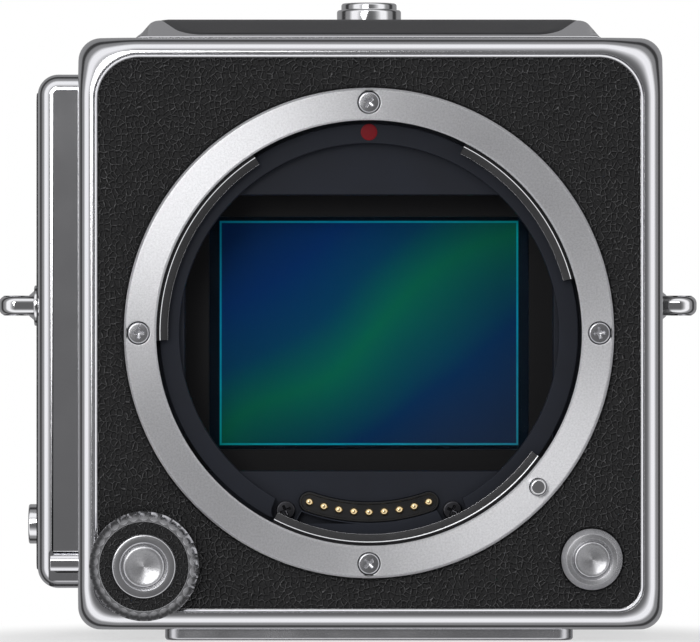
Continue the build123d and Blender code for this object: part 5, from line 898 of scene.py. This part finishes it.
CONTACT_ARC = (25.9, 1.45, -109.48, -70.52)
contact_hole = arc_loop(CONTACT_ARC[0], CONTACT_ARC[1] + 0.05, *CONTACT_ARC[2:], hole=True)
baffle = [
    plate_form([circle(BAFFLE_R, count=240), step_loop()], edge(3.4, 5.2, 0.12)),
    plate_form([circle(BAFFLE_R - 0.1, count=240), opening_loop(), contact_hole],
               [edge(5.0, 6.0), edge(5.0, 6.0, 0.14), edge(5.0, 6.0, 0.06)]),
    plate_form([rectangle(-27.3, 27.3, -20.6, 20.6, 0.6),
                rectangle(-OPENING_W, OPENING_W, -OPENING_H, OPENING_H, 0.4, hole=True)], edge(6.0, 13.6)),
    plate_form([circle(34.6, count=160), rectangle(-27, 27, -20.3, 20.3, 0.4, hole=True)], edge(5.4, 5.9))]
build("baffle", merged(baffle), BAFFLE, "camera", ("light_baffle",))
dot = [(0, 3.3), (0.9, 3.302), (1.1, 3.31), (1.17, 3.33), (1.2, 3.38), (1.2, 3.8), (0, 3.8)]
build("index_mark", turned_form(dot, (0, 29.0), count=48), RED, "camera", ("index_dot",))
print("baffle and index mark:", MADE["baffle"], MADE["index_mark"], "faces")

# %% [markdown]
# **Contacts.** Nine sprung pins stand in a bent black block with a raised rim. Each pin is turned, with a
# round tip, which gives the small split highlight of a polished dome.

# %% Contacts
def contact_bed():
    """Block with a raised rim: loops from the rear edge over the rim to the floor, and both ends filled."""
    radius, half_width, *span = CONTACT_ARC
    profile = ((0, 7.0), (0, 4.32), (-0.03, 4.24), (-0.09, 4.2), (-0.26, 4.2), (-0.32, 4.24), (-0.35, 4.3),
               (-0.36, 4.4))
    rows = [place(*arc_loop(radius, half_width + grow, *span).T, depth, "Y") for grow, depth in profile]
    return skin([np.stack(rows)])


CONTACT_STEP = 4.87
tip = quarter(0, 4.16, 0.6, 0.46, 9) + [(0.6, 8.0), (0, 8.0)]
pins = [turned_form(tip, on_circle(CONTACT_ARC[0], -90 + CONTACT_STEP * k), count=32) for k in range(-4, 5)]
build("contact_bed", contact_bed(), PLASTIC, "camera", ("contact_block",))
build("contact_tips", merged(pins), GILT, "contacts", ("contact_pins",))
print("contacts:", MADE["contact_bed"], MADE["contact_tips"], "faces")

# %% [markdown]
# ## The dial, the shutter button and the lens release
# The dial's bevel is cut by thirty flutes. A cutter of round section, tilted at 45 degrees, leaves an edge
# whose radius and depth both move by the root of two times the cut, so the whole dial is one profile whose
# corner slides with the angle.

# %% Control dial
FLUTES, CUTTER_R, CUTTER_AWAY = 30, 1.24, 0.985
DIAL_R, LAND_R, DIAL_FRONT = 7.9, 7.0, -3.3


def fluted_dial():
    """Closed loops of (radius, depth), one for each angle. The cut is how far the cutter's circle reaches
    past the bevel, at the distance along the rim from the middle of a flute."""
    t = np.linspace(0, 2 * np.pi, 16 * FLUTES, endpoint=False)
    pitch = 2 * np.pi / FLUTES
    along = (DIAL_R + LAND_R) / 2 * (np.mod(t, pitch) - pitch / 2)
    cut = math.sqrt(2) * np.clip(np.sqrt(CUTTER_R ** 2 - along ** 2) - CUTTER_AWAY, 0, None)
    face_r, side_d = LAND_R - cut, DIAL_FRONT + DIAL_R - LAND_R + cut
    rows = [(4.3, 0.25), (DIAL_R - 0.15, 0.25), (DIAL_R - 0.03, 0.2), (DIAL_R, 0.08),
            (DIAL_R, side_d + 0.05), (DIAL_R - 0.02, side_d), (face_r + 0.04, DIAL_FRONT + 0.03),
            (face_r - 0.01, DIAL_FRONT), (6.47, DIAL_FRONT), (6.43, DIAL_FRONT + 0.03), (6.42, -2.8),
            (4.3, -2.8)]
    grid = np.stack([place(DIAL_AT[0] + r * np.cos(t), DIAL_AT[1] + r * np.sin(t), d, "Y") for r, d in rows])
    return skin([grid], joined=True)


def ring_of(section, at, radii):
    """Turned piece with a closed section, round an axis through a point, with its corners eased."""
    return turned_form(rounded(section, radii, 5, closed=True), at, count=128, joined=True)


build("dial_rim", fluted_dial(), DIAL_FACE, "dial", ("control_dial",), sharp=24)
inlay = [(4.62, -3.24), (6.38, -3.24), (6.38, -2.75), (4.62, -2.75)]
inlay_form = ring_of(inlay, DIAL_AT, [0.12, 0.12, 0, 0])
build("dial_inlay", inlay_form, DIAL_LEATHER, "dial", ("dial_leather",))
collar = [(3.03, -3.42), (3.34, -3.42), (3.42, -3.7), (4.58, -3.7), (4.58, -3.1), (SLEEVE_R, -3.1),
          (SLEEVE_R, 0.3), (5.6, 0.3), (5.6, 1.2), (SLEEVE_R, 1.2), (SLEEVE_R, 4.4), (3.03, 4.4)]
sleeve_form = ring_of(collar, DIAL_AT, [0.05, 0.05, 0.1, 0.2, 0.1, 0, 0, 0.2, 0, 0, 0, 0])
build("dial_sleeve", sleeve_form, DIAL_FACE, "camera", ("dial_collar",))
print("dial:", MADE["dial_rim"], MADE["dial_inlay"], MADE["dial_sleeve"], "faces")

# %% [markdown]
# **Buttons on the front.** The caps of the shutter button and of the lens release are dished for a finger
# tip. The release sinks into a collar with a rolled lip. Behind the plate a bar ties it to the lock pin,
# which comes through the mount ring and drops back with it.

# %% Buttons on the front
def dished(radius, front, rear, stem_r, stem_end, dish=0.22, land=0.5, ease=0.28):
    """Profile of a dished button: a parabola up to a flat land, a quarter round, the side and the stem."""
    bowl_r = radius - land
    bowl = [(bowl_r * k, front + dish * (1 - k * k)) for k in np.linspace(0, 1, 14)]
    side = quarter(radius - ease, front + ease, ease, ease, 7)
    return bowl + side + [(radius, rear), (stem_r, rear), (stem_r, stem_end), (0, stem_end)]


shutter_form = turned_form(dished(2.97, -4.0, -2.4, 1.2, 5.8), DIAL_AT)
build("shutter_cap", shutter_form, BUTTON_FACE, "shutter", ("shutter_button",))
rim = [(2.6, 4.4), (2.6, -0.05), (2.72, -0.05), (2.76, 0.0), (2.8, -0.05), (2.95, -0.05), (2.98, -0.3),
       (3.67, -0.3), (COLLAR_R, 0.45), (COLLAR_R, 4.4)]
rim_form = ring_of(rim, RELEASE_AT, [0, 0.04, 0, 0, 0, 0.02, 0.05, 0.08, 0.1, 0])
build("release_rim", rim_form, RELEASE_FACE, "camera", ("release_collar",))
cap_form = turned_form(dished(2.55, -0.65, 1.35, 1.3, 8.0, 0.2, 0.35, 0.2), RELEASE_AT)
build("release_cap", cap_form, RELEASE_FACE, "lens_release", ("lens_release_button",))


def lock_pin():
    """Pin with a domed tip, and the bar behind the plate that ties it to the release button."""
    at = on_circle(PIN_CIRCLE, PIN_ANGLE)
    tip = [(0, -1.6), (0.85, -1.58)] + quarter(0.85, -1.25, PIN_R - 0.85, 0.33, 6)
    pin = turned_form(tip + [(PIN_R, 8.2), (0, 8.2)], at, count=48)
    way = np.array(RELEASE_AT) - np.array(at)
    t = np.linspace(-np.pi / 2, np.pi / 2, 17) + math.atan2(way[1], way[0])
    half = np.stack([np.cos(t), np.sin(t)], axis=-1)
    bar = np.concatenate([np.array(RELEASE_AT) + 2.25 * half, np.array(at) - PIN_R * half])
    return merged([pin, plate_form([bar], edge(8.02, 9.18, 0.1, 0.1, 3))])


build("lock_pin", lock_pin(), BRIGHT, "lens_release", ("lens_lock_pin",))
print("buttons:", MADE["shutter_cap"], MADE["release_rim"], MADE["release_cap"], MADE["lock_pin"], "faces")

# %% [markdown]
# ## The top button and the base
# The knob on top is two stacked discs with soft edges on a stem. The base plate carries four screws, the
# tripod bush and two feet. The bush is threaded: its bore's radius rises and falls with the depth less the
# angle, a triangle wave with one tooth for each turn.

# %% Knob, base plate, bush and feet
BUSH_AT, BUSH_R, THREAD_R, THREAD_PITCH = (0, 13.4), 6.0, 2.95, 1.27
KNOB_AT, KNOB_TOP = (0, 32), 48.9
BASE_FOOT, BASE_TOP = -44.4, -42.4
knob = rounded([(0, KNOB_TOP), (4.1, KNOB_TOP), (4.1, 47.9), (4.75, 47.9), (4.75, 45.62), (1.68, 45.62),
                (1.68, 41.4), (0, 41.4)], [0, 0.35, 0.12, 0.35, 0.25, 0, 0, 0], 6)
knob_form = turned_form(knob, KNOB_AT, "Z", 128)
build("top_knob", knob_form, BRIGHT, "back_release", ("back_release_knob",))


def base_form():
    """Plate with its bush hole and four screw seats, its lower edge rounded."""
    loops = [rectangle(-29.5, 29.5, 3.5, 23.4, 2.2, 12), circle(BUSH_R + 0.05, BUSH_AT, 96, hole=True)]
    profiles = [edge(BASE_FOOT, BASE_TOP, 0.45, 0, 6), edge(BASE_FOOT, BASE_TOP, 0.15)]
    for at in BASE_SCREWS:
        loops.append(circle(SCREW_SEAT_R, at, 40, hole=True))
        profiles.append(edge(BASE_FOOT, BASE_TOP, 0.1))
    return plate_form(loops, profiles, "Z")


def bush_form():
    """Bush with a thread: rows down the bore, round the lower rim and up the outer wall. The thread fades
    out at both ends, and its tooth is 0.38 mm high."""
    t = np.linspace(0, 2 * np.pi, 72, endpoint=False)
    end, top, foot = -36.3, -37.0, -44.0
    z = np.linspace(top, foot, 140)[:, None]
    tooth = 0.38 * (np.abs(2 * np.mod(z / THREAD_PITCH - t / (2 * np.pi), 1) - 1) - 1)
    fade = np.clip((z - foot) / 0.5, 0, 1) * np.clip((top - z) / 0.5, 0, 1)
    rim = np.array([(3.25, -44.3), (5.8, -44.3), (BUSH_R - 0.05, -44.25), (BUSH_R, -44.1), (BUSH_R, end)])
    radius = np.concatenate([[THREAD_R + 0 * t], THREAD_R + tooth * fade, rim[:, :1] + 0 * t])
    depth = np.concatenate([[[end]], z, rim[:, 1:]])
    grid = place(BUSH_AT[0] + radius * np.cos(t), BUSH_AT[1] + radius * np.sin(t), depth, "Z")
    return skin([grid], joined=True)


build("base", base_form(), SATIN, "camera", ("tripod_plate",))
build("tripod_socket", bush_form(), STEEL, "camera", ("tripod_bush",))
foot = rounded([(0, -43.0), (1.9, -43.0), (1.9, -42.3), (0, -42.3)], [0, 0.3, 0, 0], 5)
feet = [turned_form(foot, (x, 12.0), "Z", 48) for x in (-33.0, 33.0)]
build("feet", merged(feet), RUBBER, "camera", ("body_feet",))
print("knob, base, bush, feet:", MADE["top_knob"], MADE["base"], MADE["tripod_socket"], MADE["feet"], "faces")

# %% [markdown]
# ## The back and the parts inside
# The back's housing, doors and covers are milled, with flat faces and small broken edges. Their solids have
# the right shape, so each is copied, its triangles are merged into whole faces, and a fine bevel breaks its
# edges.

# %% Milled pieces
def machined(solid, material, body, bevel, slot):
    """Copy of a solid's mesh, with its triangles merged into whole faces and its sharp edges broken."""
    mesh = NODES[solid].data.copy()
    mesh.name = solid + "_form"
    mesh.materials.clear()
    work = bmesh.new()
    work.from_mesh(mesh)
    bmesh.ops.remove_doubles(work, verts=work.verts, dist=0.002 * MM)
    bmesh.ops.dissolve_limit(work, angle_limit=math.radians(0.4), verts=work.verts, edges=work.edges)
    work.to_mesh(mesh)
    work.free()
    return register(smoothed(mesh.name, mesh, 28, bevel), material, body, (solid,))


MILLED = (
    ("back_shell", SATIN, "camera", 0.35, "body_metal"),
    ("back_top_cover", CHROME, "camera", 0.3, "body_metal"),
    ("battery_cap", SATIN, "battery", 0.2, "body_metal"),
    ("battery_catch", PLASTIC, "catch", 0.15, "black_plastic"),
    ("card_door", SATIN, "card_cover", 0.25, "body_metal"),
    ("port_door", SATIN, "port_cover", 0.25, "body_metal"),
    ("rear_panel", BLACK_PAINT, "camera", 0.2, "black_metal"),
    ("screen_frame", BLACK_PAINT, "screen", 0.3, "black_metal"),
    ("touch_display", DISPLAY, "screen", 0.15, "display_glass"))
for row in MILLED:
    machined(*row)
print("milled pieces:", sum(MADE[name + "_form"] for name, *_ in MILLED), "faces")

# %% [markdown]
# **Side button, keys and inlays.** The power button is dished like the shutter button. The five keys are
# hollowed a little for a finger tip, and a flange keeps them in. The doors, the battery cap and the cheek
# carry the same leather as the body, each as a thin sheet with a turned edge that stands a little proud of
# the metal.

# %% Side button, keys and inlays
POWER_X, POWER_AT = -50.4, (30.5, -28.3)
power = [(radius, POWER_X + depth) for radius, depth in dished(2.93, 0.0, 2.2, 1.4, 5.0, 0.2, 0.4, 0.25)]
build("power_cap", turned_form(power, POWER_AT, "X"), BRIGHT, "power", ("power_button",))
KEY_COUNT, KEY_STEP, KEY_Z = 5, 13, -30.7
key = rounded([(0, 73.75), (1.6, 73.9), (2.3, 73.9), (2.3, 71.35), (2.9, 71.35), (2.9, 70.75), (0, 70.75)],
              [0, 0.8, 0.3, 0, 0.1, 0.1, 0], 6)
for k in range(KEY_COUNT):
    form = turned_form(key, (KEY_STEP * (k - 2), KEY_Z))
    build(f"rear_key_{k + 1}_cap", form, PLASTIC, f"key_{k + 1}", (f"rear_key_{k + 1}",))
DOOR_EDGE = edge(HALF_W + 0.3, 41.9, 0.2)
INLAYS = (
    ("card_door_leather", "card_cover", [rectangle(46.2, 63.2, 3.2, 30.8, 1.5)], DOOR_EDGE),
    ("port_door_leather", "port_cover", [rectangle(46.2, 63.2, -30.8, -4.2, 1.5)], DOOR_EDGE),
    ("battery_leather", "battery", [rectangle(38.2, 59.8, -9.5, 28.8, 2.0)], edge(-48.75, -48.2, 0.2)),
    ("cheek_leather", "camera",
     [rectangle(12.4, 22.6, -34.5, 35.0, 1.5), circle(LUG_R + 0.25, LUG_AT, hole=True)],
     edge(CHEEK_X - 0.25, -48.0, 0.15)))
for name, body, loops, profile in INLAYS:
    build(name, plate_form(loops, profile, "X"), LEATHER, body, ())
print("power button and keys:", MADE["power_cap"], MADE["rear_key_1_cap"], "faces")
print("inlays:", [MADE[name] for name, *_ in INLAYS], "faces")

# %% [markdown]
# **Solids that stay.** What is hidden in the body, and the sensor with its glass and frame, are flat plates
# and plain coils already, so these keep their solids.

# %% Finishes for the solids that stay
KEPT_SOLIDS = {
    "sensor_frame": DEEP, "sensor_cover_glass": GLASS, "image_sensor": SENSOR, "heat_sink": SINK,
    "main_board": BOARD, "key_board": BOARD, "card_reader": PLASTIC, "port_block": PLASTIC,
    "battery_tray": PLASTIC, "battery_pack": PLASTIC, "memory_cards": PLASTIC, "front_plate": FLOCK,
    "body_rear_plate": BLACK_PAINT, "latch_slider": STEEL, "hinge_pins": STEEL, "latch_spring": SPRING,
    "shutter_spring": SPRING, "release_spring": SPRING}
for name, material in KEPT_SOLIDS.items():
    NODES[name].data.materials.clear()
    NODES[name].data.materials.append(material)
print(len(KEPT_SOLIDS), "solids keep their own mesh")

# %% [markdown]
# ## The studio
# The camera stands on a pale floor before a white backdrop, a metre from the lens that looks at it. The
# picture's edges run close to the strap lugs, so the focal length is long and the picture is shifted a
# little. Metal shows its surroundings more than its colour, so the room matters: dim where the flat faces
# mirror it, a bright ring about fifty degrees from the lens axis, a dark band beside the camera, and one
# soft key light above on the left. The key and the turned marks of the ring give the two bright fans.

# %% Floor
FLOOR_Z, FLOOR_HALF = BASE_FOOT - 0.02, 4000


def pale_floor():
    """Floor that keeps the object's shadow and turns into plain white further out for the camera. Metals see
    through it, so that their lower slopes mirror the room."""
    material, shader = finish("studio floor", (0.9, 0.9, 0.9), 0.0, 0.6, Specular_IOR_Level=0.1)
    where = millimetres(material)
    grain = noise(material, where, 0.05, 2.0).outputs[0]
    join(material, colours(material, grain, [(0.3, (0.89, 0.89, 0.89)), (0.7, (0.91, 0.91, 0.91))]),
         shader.inputs["Base Color"])
    flat = vector_maths(material, "MULTIPLY", where, (1.0, 1.0, 0.0))
    away = node(material, "VectorMath", {0: flat}, operation="LENGTH").outputs["Value"]
    white = node(material, "Emission", {"Color": (1, 1, 1, 1), "Strength": 1.0}).outputs[0]
    ray = node(material, "LightPath").outputs
    part = maths(material, "MULTIPLY", ray["Is Camera Ray"], remap(material, away, 46, 80, 0.6, 1.0))
    both = node(material, "MixShader", {0: part, 1: shader.outputs[0], 2: white}).outputs[0]
    clear = node(material, "BsdfTransparent").outputs[0]
    whole = node(material, "MixShader", {0: ray["Is Glossy Ray"], 1: both, 2: clear}).outputs[0]
    join(material, whole, material.node_tree.nodes["Material Output"].inputs["Surface"])
    return material


floor_mesh = bpy.data.meshes.new("floor")
corners = rectangle(-FLOOR_HALF, FLOOR_HALF, -FLOOR_HALF, FLOOR_HALF, 0)
floor_mesh.from_pydata((place(*corners.T, FLOOR_Z, "Z") * MM).tolist(), [], [[0, 1, 2, 3]])
floor = bpy.data.objects.new("floor", floor_mesh)
bpy.context.scene.collection.objects.link(floor)
floor.data.materials.append(pale_floor())
print("floor laid at", round(FLOOR_Z, 2), "mm")

# %% Room
def room():
    """World: white for the camera, and for other rays a grey that depends on the angle from the lens axis."""
    world = bpy.data.worlds.new("studio room")
    world.use_nodes = True
    bpy.context.scene.world = world
    background = world.node_tree.nodes["Background"]
    axes = split(world, node(world, "TexCoord").outputs["Generated"])
    towards = maths(world, "ADD", maths(world, "MULTIPLY", axes[1], -0.5), 0.5)
    seen = node(world, "LightPath").outputs["Is Camera Ray"]
    white = node(world, "Mix", {0: seen}, data_type="RGBA")
    join(world, colours(world, towards, ROOM_TONES), white.inputs[6])
    white.inputs[7].default_value = (1, 1, 1, 1)
    join(world, white.outputs[2], background.inputs["Color"])
    background.inputs["Strength"].default_value = 1.0


def angle_stop(degrees, grey):
    """Ramp stop for an angle from the lens axis: the ramp runs along (1 + cosine) / 2."""
    return (0.5 + 0.5 * math.cos(math.radians(degrees)), (grey, grey, grey * 1.02))


ROOM_TONES = sorted(angle_stop(angle, grey) for angle, grey in (
    (180, 0.3), (120, 0.26), (111, 0.05), (98, 0.05), (91, 0.26), (75, 0.32), (63, 1.05), (44, 1.05),
    (34, 0.6), (21, 0.22), (10, 0.14), (0, 0.13)))
room()
print("room with", len(ROOM_TONES), "tones")

# %% Lamps and camera
def lamp(name, clock, away, distance, width, height, watts):
    """Soft box turned towards the lens mount. Its clock angle runs anticlockwise round the lens axis from
    the right, away is its angle from that axis, and its width runs round the axis."""
    data = bpy.data.lights.new(name, "AREA")
    data.shape, data.size, data.size_y, data.energy = "RECTANGLE", width, height, watts
    made = bpy.data.objects.new(name, data)
    bpy.context.scene.collection.objects.link(made)
    c, a = math.radians(clock), math.radians(away)
    ahead = Vector((math.sin(a) * math.cos(c), -math.cos(a), math.sin(a) * math.sin(c)))
    across = Vector((-math.sin(c), 0.0, math.cos(c)))
    made.location = distance * ahead
    made.rotation_euler = Matrix((across, ahead.cross(across), ahead)).transposed().to_euler()


lamp("key", clock=138, away=21, distance=0.8, width=0.36, height=0.24, watts=1.2)

VIEW_DISTANCE, PICTURE_WIDTH, SHIFT_RIGHT, SHIFT_UP = 1.0, 700, -19, 12
view = bpy.data.cameras.new("view")
view.sensor_width, view.lens = 36.0, 357.4
view.shift_x, view.shift_y = SHIFT_RIGHT / PICTURE_WIDTH, SHIFT_UP / PICTURE_WIDTH
view.clip_start, view.clip_end = 0.05, 20.0
eye = bpy.data.objects.new("view", view)
eye.location = (0.0, -VIEW_DISTANCE, 0.0)
eye.rotation_euler = (math.pi / 2, 0.0, 0.0)
bpy.context.scene.collection.objects.link(eye)
bpy.context.scene.camera = eye
bpy.context.scene.view_settings.view_transform = "Standard"
print("camera with a", view.lens, "mm lens")

# %% [markdown]
# ## Finish
# The dressed model must keep inside the solids' box.

# %% Finish
print(len(MADE), "pieces,", sum(MADE.values()), "faces")
